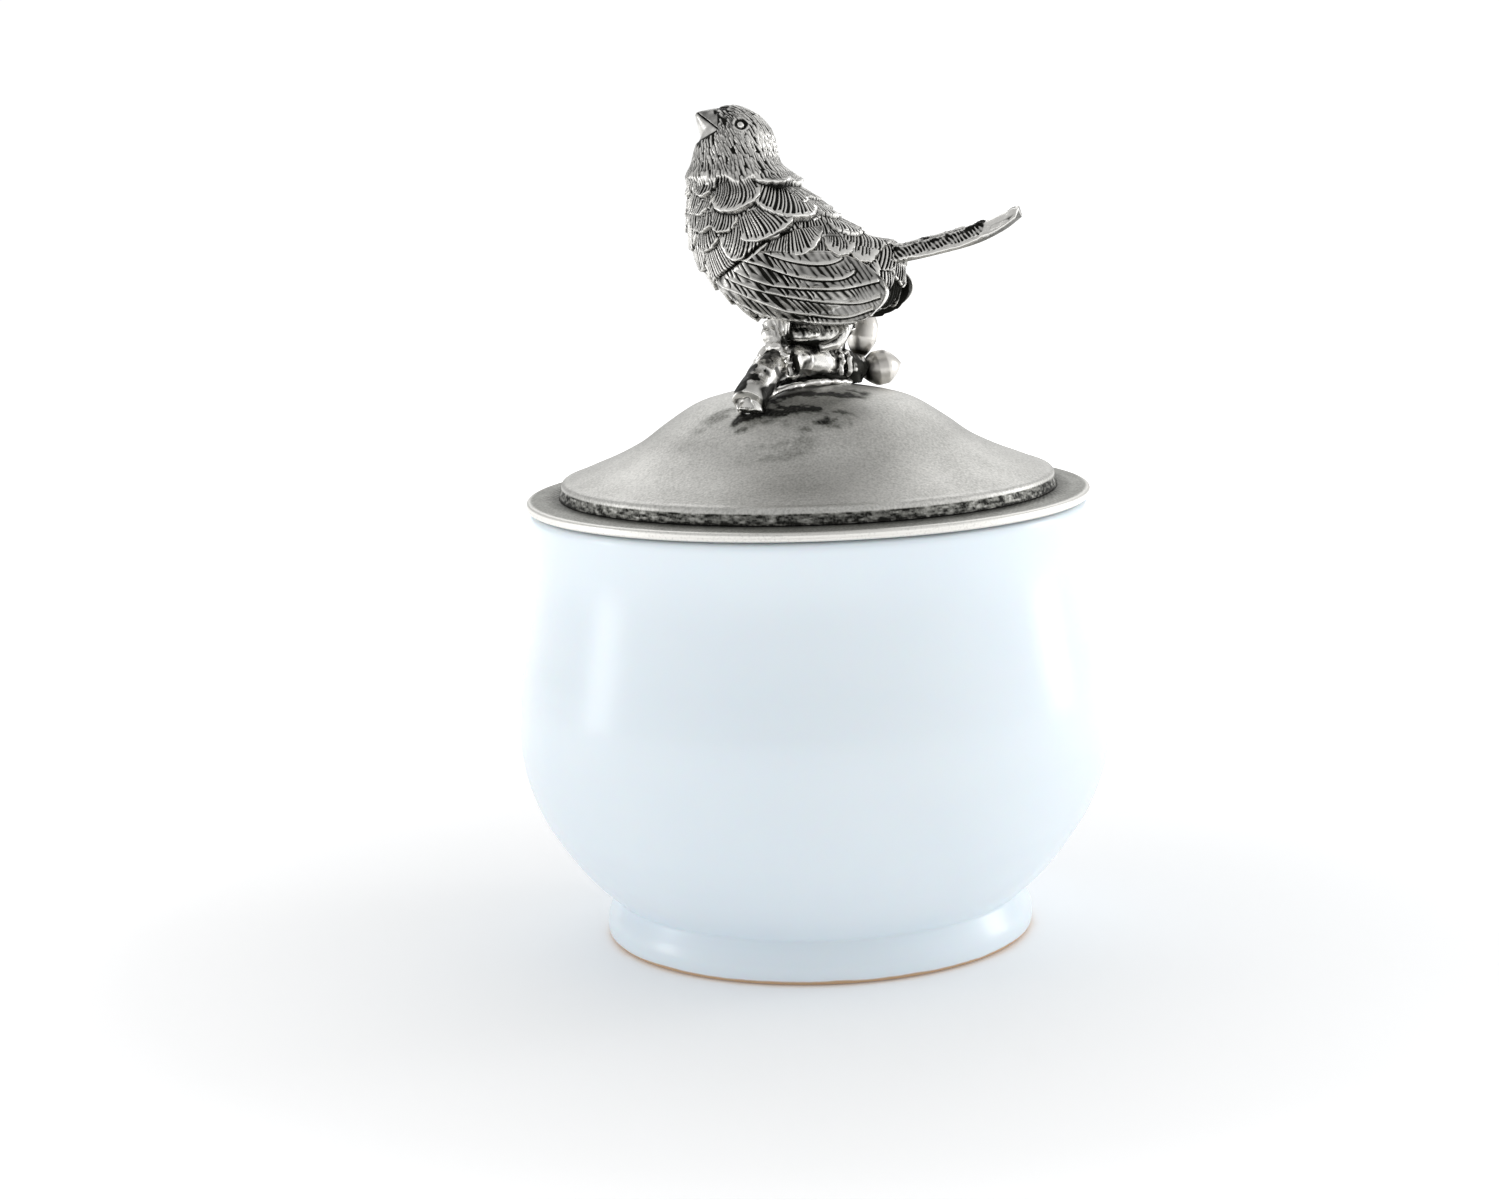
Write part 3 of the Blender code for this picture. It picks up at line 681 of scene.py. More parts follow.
def distance_to_curve(x, z, curve):
    """Each point's distance from a curve, above 0 on its left, and its place along it, from 0 to 1."""
    best = np.full(len(x), 1e9)
    signed = np.zeros(len(x))
    place_along = np.zeros(len(x))
    segments = len(curve) - 1
    for k in range(segments):
        (x0, z0), (x1, z1) = curve[k], curve[k + 1]
        dx, dz = x1 - x0, z1 - z0
        t = np.clip(((x - x0) * dx + (z - z0) * dz) / (dx * dx + dz * dz), 0, 1)
        ox, oz = x - x0 - t * dx, z - z0 - t * dz
        far = np.hypot(ox, oz)
        closer = far < best
        best = np.where(closer, far, best)
        signed = np.where(closer, np.where(dx * oz - dz * ox >= 0, far, -far), signed)
        place_along = np.where(closer, (k + t) / segments, place_along)
    return signed, place_along


def wing_relief(x, z):
    """Height, and how dark the patina is, over the wing in side view."""
    height, tone = np.zeros(len(x)), np.zeros(len(x))
    band = np.full(len(x), -1.0)
    above = np.full(len(x), 9.0)
    for k, points in enumerate(WING_EDGES):
        curve = catmull(points, 40)
        signed, along = distance_to_curve(x, z, curve)
        within = smoothstep(along / 0.06) * (1 - past(along, 0.985, 0.015))
        fade = 0.45 + 0.55 * np.sin(2.0 + 3.1 * k + 5.0 * along) ** 2
        step = np.where(signed > 0, 0.42 * np.exp(-np.clip(signed, 0, None) / 1.3), 0.0)
        step = step * past(signed, -0.05, 0.12)
        ridge = (0.20 + 0.20 * along) * fade * bump_at(signed, 0.26, 0.18 + 0.10 * along)
        ditch = fade * bump_at(signed, -0.10, 0.14)
        height += within * (step + ridge - 0.20 * ditch)
        tone += within * (0.9 * ditch - 2.6 * ridge)
        closer = (signed > 0) & (signed < above)
        above = np.where(closer, signed, above)
        band = np.where(closer, k, band)
    rear = past(x, -3, 12)
    slant = 0.80 * x + 0.60 * (z - 105) + 0.35 * np.sin(0.7 * x + 0.4 * z)
    fan_out = slant * (1.18 + 0.014 * slant)
    phase = 2 * np.pi * fan_out + 1.3 * band + 0.9 * np.sin(slant * 1.3 + band) + 0.5 * np.sin(slant * 3.1)
    groove = (0.5 + 0.5 * np.cos(phase)) ** 1.4
    ragged = 0.30 * np.sin(phase / 2 + 0.7 * band) + 0.15 * np.sin(phase / 3)
    window = smoothstep((above - 0.45 + ragged) / 0.3)
    worn = fractal(np.stack([x, 0 * x, z], axis=1) * np.array([0.7, 1, 1]) + 11.0, 2.4, 2)
    strength = (0.55 + 0.45 * np.sin(slant * 0.8 + 1.7 * band) ** 2) * (1.25 - 0.85 * rear)
    strength = strength * (0.35 + 0.65 * past(worn, 0.36, 0.2))
    window = np.where(band < 0, 0.8, window) * strength
    height -= 0.30 * groove * window
    tone += 1.65 * groove * window + 0.35 * past(worn, 0.52, 0.15) * (1 - rear)
    tone -= 0.18 * before(worn, 0.46, 0.12)
    return height, tone


def make_wings(metal, tree):
    """Each wing is a closed plate that follows the flank, and stands clear at its rear."""
    coarse_rows, coarse_across = 60, 16
    low, high = catmull(WING_LOWER, coarse_rows), catmull(WING_UPPER, coarse_rows)
    base = np.zeros((coarse_rows, coarse_across, 3))
    outward = np.zeros_like(base)
    for i in range(coarse_rows):
        clear = min(max((i / (coarse_rows - 1) - 0.3) / 0.3, 0.0), 1.0)
        for k in range(coarse_across):
            across = k / (coarse_across - 1)
            x, z = low[i] + (high[i] - low[i]) * across
            x += 1.2 * 4 * across * (1 - across) * max(i / (coarse_rows - 1) - 0.85, 0.0) / 0.15
            hit, normal, *_ = tree.ray_cast(Vector((x, -40, z)), Vector((0, 1, 0)))
            if hit is None:
                hit, normal = Vector((x, -0.5, z)), Vector((0, -1, 0))
            if normal.y > 0:
                normal = -normal
            point = hit + normal * 0.25
            point.y = min(point.y, -WING_TIP_OUT * clear * (1 - 0.12 * across))
            base[i, k] = point
            outward[i, k] = normal.lerp(Vector((0, -1, 0)), 0.5 + 0.5 * clear)
    for k in range(coarse_across - 2, -1, -1):
        base[:, k, 1] = np.minimum(base[:, k, 1], base[:, k + 1, 1] + 0.9)
    dense = upsample(np.concatenate([base, unit(outward)], axis=2), WING_ROWS, WING_ACROSS)
    inner, outward = dense[..., :3], unit(dense[..., 3:])
    x, z = inner[..., 0].ravel(), inner[..., 2].ravel()
    height, tone = wing_relief(x, z)
    across = np.tile(np.linspace(0, 1, WING_ACROSS), WING_ROWS)
    along = np.repeat(np.linspace(0, 1, WING_ROWS), WING_ACROSS)
    swell = 0.95 * (1 - 0.75 * across**2) * smoothstep(along / 0.04 + 0.35)
    swell = swell * (1 - 0.6 * past(along, 0.75, 0.25))
    edge_fall = smoothstep(np.minimum(across, 1 - across) / 0.035)
    edge_fall = edge_fall * smoothstep(np.minimum(along, 1 - along) / 0.006)
    border = bump_at(along, 0.991, 0.007) + bump_at(across, 0.035, 0.028) * past(along, 0.1, 0.2)
    height = height + 0.25 * border
    tone = tone * (1 - np.clip(border, 0, 1)) - 0.4 * border
    height = (swell + height + 0.08 * (fractal(inner.reshape(-1, 3), 1.2) - 0.5)) * (0.25 + 0.75 * edge_fall)
    outer = inner + outward * height.reshape(WING_ROWS, WING_ACROSS)[..., None]
    inner_sheet = inner - outward * 0.35
    for side, sign in (("left", 1), ("right", -1)):
        flip = np.array([1, sign, 1])
        front, back = outer * flip, inner_sheet * flip
        points = np.concatenate([front.reshape(-1, 3), back.reshape(-1, 3)])
        faces = grid_faces(WING_ROWS, WING_ACROSS, False)
        count = WING_ROWS * WING_ACROSS
        grid_index = np.arange(count).reshape(WING_ROWS, WING_ACROSS)
        rim = [grid_index[0, :-1], grid_index[:-1, -1], grid_index[-1, :0:-1], grid_index[:0:-1, 0]]
        rim = np.concatenate(rim)
        after = np.roll(rim, -1)
        walls = np.stack([rim, after, after + count, rim + count], axis=1)
        mesh = make_mesh(f"bird_wing_{side}", in_place(points), np.concatenate([faces, faces + count, walls]))
        # painted shade: the inner sheet, which faces the body, is near black, lighter at its rear end
        rough = 1.2 + 0.9 * (fractal(back.reshape(-1, 3), 1.4) - 0.5) - 1.0 * past(along, 0.965, 0.02)
        age(mesh, 0.085, 0.36, 0.40, np.concatenate([tone, rough]))
        place(f"bird_wing_{side}_cast", mesh, metal, f"bird_wing_{side}")


# Points along the tail's ridge: x, z, half width
TAIL_RIDGE = [
    (13.5, 110.5, 2.4), (17.0, 110.7, 2.7), (22.0, 111.8, 3.0), (28.0, 113.4, 3.1), (32.5, 115.2, 2.8),
    (35.6, 116.7, 2.0),
]
TAIL_ROWS, TAIL_ACROSS = 420, 110
TAIL_LENGTH = 23.0
# The feathers of each half: middle, half width, end along the tail, height over the others, how barbed
TAIL_FEATHERS = [
    (1.6, 1.7, 1.00, 0.08, 0.0), (2.85, 0.50, 0.82, 0.24, 0.0), (1.5, 1.45, 0.76, 0.42, 1.0),
    (0.0, 0.5, 0.62, 0.56, 0.6),
]


def make_tail(metal):
    """A narrow roof of overlapping tail feathers, each with its quill."""
    rows = catmull(TAIL_RIDGE, TAIL_ROWS)
    across = np.linspace(-1, 1, TAIL_ACROSS)
    u = np.repeat(np.linspace(0, 1, TAIL_ROWS), TAIL_ACROSS)
    v = np.tile(across, TAIL_ROWS)
    width = rows[:, 2][:, None]
    top = np.stack([
        rows[:, 0][:, None] + 0 * across, width * across,
        rows[:, 1][:, None] - 0.75 * width * (np.sqrt(across**2 + 0.04) - 0.2) / 0.82,
    ], axis=-1)
    side = np.abs(v * np.repeat(rows[:, 2], TAIL_ACROSS))
    s = u * TAIL_LENGTH
    height, tone = np.zeros(len(u)), np.zeros(len(u))
    for middle, half, end, order, barbed in TAIL_FEATHERS:
        off = side - middle
        tip = smoothstep((end - u) / 0.03)
        plate = tip * smoothstep((half - np.abs(off)) / 0.2)
        shaft = bump_at(off, -0.45 * half, 0.12)
        shaped = plate * (order + 0.12 * shaft + 0.10 * bump_at(u, end - 0.05, 0.03))
        wins = shaped > height
        edge = bump_at(np.abs(off), half - 0.15, 0.13) * tip
        wander = 1.1 * np.sin(0.9 * s) + 0.7 * np.sin(2.3 * s + 1.0)
        phase = 2 * np.pi * (s - 0.9 * np.abs(off + 0.45 * half)) / 0.68 + 2 * middle + wander
        lines = (0.5 + 0.5 * np.cos(phase)) ** 1.2 * (0.6 + 0.4 * np.sin(1.7 * s + 3 * off))
        window = smoothstep((half - 0.12 - np.abs(off)) / 0.12) * (1 - 0.8 * shaft) * tip * barbed
        height = np.where(wins, shaped - 0.30 * lines * window, height)
        last = 0.0
        if end == 1.0:
            notches = 0.9 * bump_at(side, 2.1, 0.35) + 0.6 * bump_at(side, 0.3, 0.25)
            last = past(u, 0.80, 0.02) * notches
        height = height - 0.2 * last
        own_tone = 1.5 * lines * window + last - 0.35 * shaft - 0.3 * edge - 0.35 * (barbed == 0)
        tone = np.where(wins, own_tone, tone)
    cloud = fractal(top.reshape(-1, 3), 1.5)
    height += 0.3 * (cloud - 0.5)
    tone += 1.2 * past(cloud, 0.52, 0.12) * before(side, 1.7, 0.4) * before(u, 0.82, 0.1)
    normals = grid_normals(top, False)
    if normals[..., 2].mean() < 0:
        normals = -normals
    upper = top + normals * height.reshape(TAIL_ROWS, TAIL_ACROSS)[..., None]
    thick = 0.9 - 0.45 * np.abs(across)[None, :, None] ** 2
    lower = top - np.array([0, 0, 1.0]) * thick
    ring = np.concatenate([upper, lower[:, ::-1]], axis=1)
    mesh = tube_mesh("bird_tail", in_place(ring))
    under = np.full((TAIL_ROWS, TAIL_ACROSS), 0.25)
    dark = np.concatenate([tone.reshape(TAIL_ROWS, TAIL_ACROSS), under], axis=1).ravel()
    age(mesh, 0.10, 0.6, 0.28, dark)
    place("bird_tail_cast", mesh, metal, "bird_tail")


# ---------------------------------------------------------------- twig, buds and legs
# The twig's middle line, from its near end to the buds, and how many points it is worked out at
TWIG_POINTS = 60
TWIG_PATH = [
    (-8.7, -15.9, 87.8), (-7.2, -12.2, 90.3), (-5.2, -8.2, 92.3), (-1.8, -3.9, 92.7), (2.0, -0.4, 92.1),
    (5.8, 3.4, 91.2), (8.6, 6.6, 90.3),
]


def frames_along(path):
    """(direction, up, side) at each point of a path."""
    along = unit(np.gradient(path, axis=0))
    up = np.tile(np.array([0.0, 0.0, 1.0]), (len(path), 1))
    steep = np.abs(along[:, 2]) > 0.9
    up[steep] = (-1.0, 0.0, 0.0)
    up = unit(up - along * np.einsum("ij,ij->i", up, along)[:, None])
    return along, up, np.cross(along, up)


def rod_points(path, radii, sides):
    """Rings of points round a path."""
    path = np.asarray(path, float)
    _, up, side = frames_along(path)
    turn = np.linspace(0, 2 * np.pi, sides, endpoint=False)
    ring = up[:, None] * np.cos(turn)[None, :, None] + side[:, None] * np.sin(turn)[None, :, None]
    return path[:, None] + ring * np.asarray(radii)[:, None, None]


def union(name, grids, voxel):
    """Closed rods melted into one skin of even small faces."""
    points, faces, start = [], [], 0
    for grid in grids:
        rows, columns, _ = grid.shape
        points.append(grid.reshape(-1, 3))
        faces += (grid_faces(rows, columns, True) + start).tolist()
        end = start + rows * columns
        faces += [list(range(start, start + columns)), list(range(end - columns, end))]
        start = end
    mesh = make_mesh(name, np.concatenate(points), faces)
    obj = add_object(name, mesh)
    remesh = obj.modifiers.new("skin", "REMESH")
    remesh.mode = "VOXEL"
    remesh.voxel_size = voxel * MM
    smoother = obj.modifiers.new("smooth", "SMOOTH")
    smoother.iterations = 4
    smoother.factor = 0.5
    graph = bpy.context.evaluated_depsgraph_get()
    graph.update()
    made = bpy.data.meshes.new_from_object(obj.evaluated_get(graph))
    made.materials.clear()
    bpy.data.objects.remove(obj)
    bpy.data.meshes.remove(mesh)
    made.shade_smooth()
    return made


def displace(mesh, offset):
    """Moves each vertex this far along its normal."""
    points, _, normals = read_mesh(mesh)
    mesh.vertices.foreach_set("co", ((points + normals * offset[:, None]) * MM).ravel())
    mesh.update()


def pea(centre, radii, along=(1, 0, 0), rows=18, sides=24):
    """An egg shape as rings."""
    centre = np.asarray(centre, float)
    along = unit(np.asarray(along, float))
    up = unit(np.array([0, 0, 1.0]) - along * along[2]) if abs(along[2]) < 0.9 else np.array([-1.0, 0, 0])
    side = np.cross(along, up)
    polar = np.linspace(0.04, np.pi - 0.04, rows)
    turn = np.linspace(0, 2 * np.pi, sides, endpoint=False)
    return (
        centre + (-np.cos(polar) * radii[0])[:, None, None] * along
        + (np.sin(polar) * radii[1])[:, None, None] * (up * np.cos(turn)[:, None])[None]
        + (np.sin(polar) * radii[2])[:, None, None] * (side * np.sin(turn)[:, None])[None]
    )


def make_twig(metal):
    """The twig with its knots and feet, in one skin."""
    path = catmull(TWIG_PATH, TWIG_POINTS)
    walk = np.linspace(0, 1, TWIG_POINTS)
    path = path + np.array([0, 0, 0.3]) * np.sin(np.pi * walk)[:, None]
    radii = 2.5 * (1 + 0.07 * np.sin(walk * 13) + 0.05 * np.sin(walk * 29 + 1))
    pieces = [rod_points(path, radii, 40)]
    # knots, and the stumps of side shoots
    along, up, side = frames_along(path)
    knots = [(12, 0.4, 1.5), (22, -1.9, 1.4), (31, 1.3, 1.5), (40, -0.9, 1.5), (50, 0.7, 1.8), (55, 2.6, 1.6)]
    for at, turn, size in knots:
        out = up[at] * math.cos(turn) + side[at] * math.sin(turn)
        pieces.append(pea(path[at] + out * 1.5, (size * 1.2, size * 0.8, size * 0.9), along[at]))
    # the feet, soldered to the dome, and the seam of solder under the arch
    pieces.append(rod_points([(-8.5, -15.4, 86.2), (-8.1, -14.4, 88.2)], [2.3, 2.0], 32))
    pieces.append(rod_points([(7.0, 4.8, 88.3), (7.0, 4.8, 90.2)], [2.6, 2.2], 32))
    seam_path = [
        (-7.2, -13.4, 87.9), (-4.0, -10.2, 89.0), (0.2, -6.4, 89.6), (4.2, -2.2, 89.4), (7.2, 2.0, 88.7),
    ]
    seam, beat = catmull(seam_path, 50), np.arange(50)
    pieces.append(rod_points(seam, 0.52 + 0.07 * np.sin(beat * 0.45) + 0.04 * np.sin(beat * 1.3), 18))
    # a web under the arch, whose lower side is painted black as shade
    pieces.append(rod_points(path[7:52] - np.array([0, 0, 2.0]), np.full(45, 1.7), 24))
    mesh = union("twig", pieces, 0.16)
    points, _, _ = read_mesh(mesh)
    from_seam = np.min(np.linalg.norm(points[:, None] - seam[None], axis=2), axis=1)
    lumps = 0.60 * (fractal(points, 4.0, 1) - 0.5)
    facets = 0.12 * past(fractal(points + 31, 2.8, 1), 0.5, 0.12) - 0.09
    pits = -0.35 * past(fractal(points + 9, 2.2, 2), 0.64, 0.06)
    beads = 0.30 * (fractal(points, 1.2, 2) - 0.5) * (from_seam < 0.8)
    displace(mesh, (lumps + facets + pits) * past(from_seam, 0.4, 0.6) + beads)
    blotch = past(fractal(points + 50, 2.8, 3), 0.48, 0.12)
    x, _, z = points.T
    clear = past(from_seam, 0.62, 0.15)
    # painted shade on the twig's underside and the web below it, under the arch
    under = before(z, 90.7, 0.8) * past(x, -7.2, 1.0) * clear
    # the end by the buds, and the bark on the stub's upper side, are black
    grain = fractal(points * np.array([1.0, 1.0, 0.5]) + 3.0, 1.3)
    bud_end = past(x, 3.2, 3.0) * past(grain, 0.36, 0.15)
    bark = smoothstep((-8.7 + 0.78 * (z - 87.8) - 0.3 - x) / 0.7) * past(z, 89.2, 0.6)
    bark = bark * past(grain, 0.40, 0.12) * (x < -3)
    black = np.maximum(0.72 * blotch * (1 - 0.7 * (x < -6)), 0.9 * np.maximum(bud_end, bark))
    age(mesh, 0.3, 0.8, 0.06, 0.30 * (1 - clear) + clear * black + 1.1 * under)
    place("twig_cast", mesh, metal, "twig")


def make_bud(name, root, widest, tip, radius, metal):
    """A leaf bud from its root to its pointed tip."""
    rows, sides = 60, 96
    path = catmull([root, widest, tip], rows)
    t = np.linspace(0, 1, rows)
    radii = radius * np.clip(1.05 * np.sin(np.pi * (0.12 + 0.88 * t) ** 1.05) ** 0.8, 0.04, 1)
    grid = rod_points(path, radii, sides)
    mesh = tube_mesh(name, grid)
    points = grid.reshape(-1, 3)
    dark = 0.8 * np.repeat(before(t, 0.17, 0.12), sides)
    dark += 0.35 * past(fractal(points, 2.4), 0.60, 0.1)
    age(mesh, 0.3, 1.5, 0.11, dark)
    place(name + "_cast", mesh, metal, name)


def make_legs(metal):
    """Short feathered thighs, and toes that wrap round the twig."""
    path = catmull(TWIG_PATH, TWIG_POINTS)
    along, up, side = frames_along(path)
    long_toe = catmull([(6.6, 0.4, 98.6), (6.1, -1.4, 96.9), (4.9, -2.5, 95.5), (2.4, -3.3, 95.0)], 16)
    hips = {"left": (-4.0, -4.6, 98.8), "right": (6.2, 1.2, 98.4)}
    # the fluffy thigh on the left, with a mass behind it painted dark as shade, and the long toe that comes
    # forward on the right
    extras = {
        "left": [
            pea((-0.6, -4.6, 97.2), (3.3, 1.1, 1.2)), pea((-4.6, -5.6, 97.4), (2.0, 1.8, 1.8)),
            pea((1.0, -1.6, 96.8), (5.6, 2.4, 1.9)),
        ],
        "right": [rod_points(long_toe, np.linspace(1.45, 0.8, len(long_toe)), 20)],
    }
    for which, at in (("left", 23), ("right", 47)):
        point, ahead, above, beside = path[at], along[at], up[at], side[at]
        foot = point + above * 3.1
        hip = np.array(hips[which])
        pieces = [
            rod_points([foot, foot * 0.5 + hip * 0.5, hip], [1.5, 1.65, 2.4], 28),
            pea(foot, (1.8, 1.2, 1.8), ahead), *extras[which],
        ]
        for shift, turn in ((-1.7, -1), (0.0, -1), (1.7, -1), (-0.8, 1), (1.0, 1)):
            arc, sizes = [], []
            for k in range(9):
                angle = turn * math.radians(118) * k / 8
                reach = 2.85 + 0.25 * math.sin(k * 1.9 + shift)
                outward = above * math.cos(angle) + beside * math.sin(angle)
                arc.append(point + ahead * shift * min(1.0, k / 3) + reach * outward)
                sizes.append(0.78 * (1 - 0.055 * k) * (1 + 0.12 * math.sin(k * 2.6)))
            pieces.append(rod_points(arc, sizes, 20))
        mesh = union(f"leg_{which}", pieces, 0.15)
        points, _, _ = read_mesh(mesh)
        tuft = past(points[:, 2], 96.3, 1.5)
        lines = np.sin(points[:, 0] * 7 + points[:, 1] * 5 + 3 * fractal(points, 1.5))
        displace(mesh, 0.35 * (fractal(points, 1.5) - 0.5) + 0.05 * tuft * lines)
        blotch = past(fractal(points + 20, 2.2, 2), 0.52, 0.10)
        # painted shade on the left leg's low parts behind the thigh
        between = 0.0
        if which == "left":
            between = past(points[:, 0], -2.6, 1.0) * before(points[:, 2], 96.4, 0.6)
        age(mesh, 0.2, 0.7, 0.12, 0.15 * tuft * (lines < 0) + 0.75 * blotch + between)
        place(f"bird_leg_{which}_cast", mesh, metal, f"bird_leg_{which}")


# ---------------------------------------------------------------- lid and bowl
def revolve(outline, steps):
    """Points of a closed outline of (radius, height) at each of so many steps round Z."""
    outline = np.asarray(outline, float)
    turn = np.linspace(0, 2 * np.pi, steps, endpoint=False)
    return np.stack([
        outline[None, :, 0] * np.cos(turn)[:, None], outline[None, :, 0] * np.sin(turn)[:, None],
        np.tile(outline[:, 1], (steps, 1)),
    ], axis=-1)


def ring_mesh(name, grid):
    """A closed ring from the outlines at each step round it."""
    steps, count, _ = grid.shape
    i, j = np.meshgrid(np.arange(steps), np.arange(count), indexing="ij")
    i2, j2 = (i + 1) % steps, (j + 1) % count
    faces = np.stack([i * count + j, i2 * count + j, i2 * count + j2, i * count + j2], axis=-1).reshape(-1, 4)
    return make_mesh(name, grid.reshape(-1, 3), faces)


def turned_mesh(name, outline, grid):
    """A turned solid. Its outline starts and ends on the axis, and the grid holds the rest at each step."""
    steps, count, _ = grid.shape
    last_step = (steps - 1) * count
    join = [(last_step + j, j, j + 1, last_step + j + 1) for j in range(count - 1)]
    points = np.vstack([grid.reshape(-1, 3), [0, 0, outline[0][1]], [0, 0, outline[-1][1]]])
    first, last = len(points) - 2, len(points) - 1
    ends = [(first, ((i + 1) % steps) * count, i * count) for i in range(steps)]
    ends += [(last, i * count + count - 1, ((i + 1) % steps) * count + count - 1) for i in range(steps)]
    return make_mesh(name, points, grid_faces(steps, count, False), [*join, *ends])


# Radius and height, measured at even steps down the silhouette in the photo
BOWL_OUTSIDE = [
    (33.25, 6.75), (36.7, 9.9), (39.1, 12.6), (41.1, 15.3), (42.8, 17.8), (44.3, 20.3), (45.5, 23.0),
    (46.4, 25.5),
    (47.1, 28.1), (47.5, 30.6), (47.75, 33.0), (47.8, 35.5), (47.7, 38.0), (47.5, 40.5), (47.1, 42.9),
    (46.65, 45.4),
    (46.15, 47.7), (45.65, 50.2), (45.2, 52.6), (44.8, 54.9), (44.4, 57.4), (44.1, 59.9), (43.95, 62.3),
    (44.0, 65.0),
    (44.35, 67.8), (44.5, 69.2),
]
BOWL_INSIDE = [
    (40.5, 69.4), (40.5, 61.5), (41.5, 51.0), (43.2, 42.0), (43.8, 35.0), (43.1, 28.0), (40.4, 21.0),
    (35.6, 15.4),
    (28.0, 11.6), (15.0, 9.9), (0.0, 9.6),
]


FOOT_OUTLINE = [
    (30.8, 0.0), (33.7, 0.0), (34.5, 0.55), (34.75, 1.5), (34.75, 2.6), (34.35, 4.0), (33.7, 5.4),
    (33.2, 6.5),
]
RIM_OUTLINE = [(44.5, 69.2), (44.2, 69.9), (43.2, 70.2), (41.6, 70.2), (40.8, 69.9), (40.5, 69.4)]
BOWL_STEPS, DOME_STEPS, BRIM_STEPS = 256, 960, 720


def make_bowl(glaze):
    """The bowl, turned from the middle of its underside over the rim to the middle of its inside."""
    foot = catmull(FOOT_OUTLINE, 40)
    foot[:, 1] = np.maximum(foot[:, 1], 0.0)
    under = [(0.0, 3.4), (20.0, 3.2), (29.2, 3.0), (30.0, 0.5)]
    rim = catmull(RIM_OUTLINE, 20)
    outline = [*under, *foot, *catmull(BOWL_OUTSIDE, 130), *rim[1:], *catmull(BOWL_INSIDE, 80)[1:]]
    mesh = turned_mesh("bowl", outline, revolve(outline[1:-1], BOWL_STEPS))
    place("bowl_glazed", mesh, glaze, "bowl", "bowl")


DOME_TOP_CURVE = [
    (0.0, 89.1), (5.0, 88.85), (9.8, 88.15), (14.6, 87.15), (18.2, 85.85), (22.8, 82.9), (26.6, 80.15),
    (31.2, 77.8), (35.4, 76.1), (38.3, 74.9),
]
DOME_EDGE = [(38.3, 74.95), (39.0, 74.70), (39.32, 74.35), (39.42, 73.95)]
DOME_INSIDE = [
    (37.8, 72.25), (37.6, 73.5), (34.9, 74.4), (30.6, 76.1), (25.8, 78.7), (21.9, 81.4), (17.6, 84.1),
    (9.5, 86.5),
    (0.0, 87.5),
]
# Painted shadows and dark reflections of the twig and bird on the dome: x, y, length, width, slant, depth
PAINTED_SHADOWS = [
    (-0.5, -12.4, 11.0, 4.6, 0.45, 0.85), (2.2, -18.4, 6.0, 3.0, 0.1, 0.45), (7.0, -7.0, 4.0, 2.4, 0.6, 0.45),
    (-8.6, -16.6, 3.4, 2.6, 0.6, 0.75), (7.5, 4.8, 4.4, 4.2, 0.6, 0.50), (-14.0, -13.0, 4.0, 2.0, 0.2, 0.15),
    (-5.0, -24.0, 8.0, 3.0, 0.1, 0.12),
]


def make_dome(pewter):
    """The dome, with its filed wall and painted shadows and dark reflections under the twig."""
    top = catmull(DOME_TOP_CURVE, 90)
    wall = np.linspace((39.45, 73.8), (39.85, 72.25), 20)
    outline = np.vstack([top, catmull(DOME_EDGE, 12)[1:], wall, catmull(DOME_INSIDE, 60)])
    grid = revolve(outline[1:-1], DOME_STEPS)
    r = np.hypot(grid[..., 0], grid[..., 1])
    z = grid[..., 2]
    # hand filing has left long flat strokes on the wall
    on_wall = bump_at(z, 73.0, 0.75) * (r > 39.3)
    strokes = fractal(grid.reshape(-1, 3) * np.array([0.9, 0.9, 2.2]), 0.8, 2).reshape(r.shape) - 0.5
    grid[..., :2] *= (1 + 0.005 * strokes * on_wall)[..., None]
    mesh = turned_mesh("lid_dome", outline, grid)
    outer = (r > 39.2) & (z < 74.1)
    dark = 0.50 + 1.1 * strokes + 0.25 * before(z, 72.8, 0.5)
    dark = np.where(outer, dark * before(z, 74.0, 0.25), 0.0)
    places = grid.reshape(-1, 3)
    body = 0.27 + 0.12 * (fractal(places, 9.0).reshape(r.shape) - 0.5)
    # painted shadow and dark reflection under the twig's feet and arch
    x, y = grid[..., 0], grid[..., 1]
    outside = (np.arange(len(outline) - 2) < len(top))[None, :]
    streak = fractal(places * np.array([0.55, 1.0, 1.0]) + 7.0, 2.2).reshape(r.shape)
    speck = fractal(places + 31.0, 0.9, 2).reshape(r.shape)
    for at_x, at_y, long, short, slant, depth in PAINTED_SHADOWS:
        along = (x - at_x) * math.cos(slant) + (y - at_y) * math.sin(slant)
        aside = (y - at_y) * math.cos(slant) - (x - at_x) * math.sin(slant)
        zone = smoothstep((1.15 - np.hypot(along / long, aside / short)) / 0.5)
        patchy = smoothstep((streak + 0.45 * (speck - 0.5) - 0.40) / 0.26)
        body = body + 1.3 * depth * zone * patchy * outside
        body = body + 0.24 * depth * zone * outside
    store(mesh, "patina", np.concatenate([np.clip(body + dark, 0, 1).ravel(), [0.22, 0.22]]))
    place("lid_dome_spun", mesh, pewter, "lid_dome")


BRIM_TOP = [(36.9, 72.10), (40.0, 72.10), (41.2, 72.08), (42.4, 72.04), (43.6, 72.00), (44.4, 71.95)]
BRIM_NOSE = [
    (44.4, 71.95), (44.8, 71.84), (45.0, 71.6), (45.0, 71.2), (45.0, 70.85), (44.85, 70.6), (44.5, 70.5),
]
BRIM_UNDERSIDE = [(40.0, 70.5), (36.9, 70.5)]


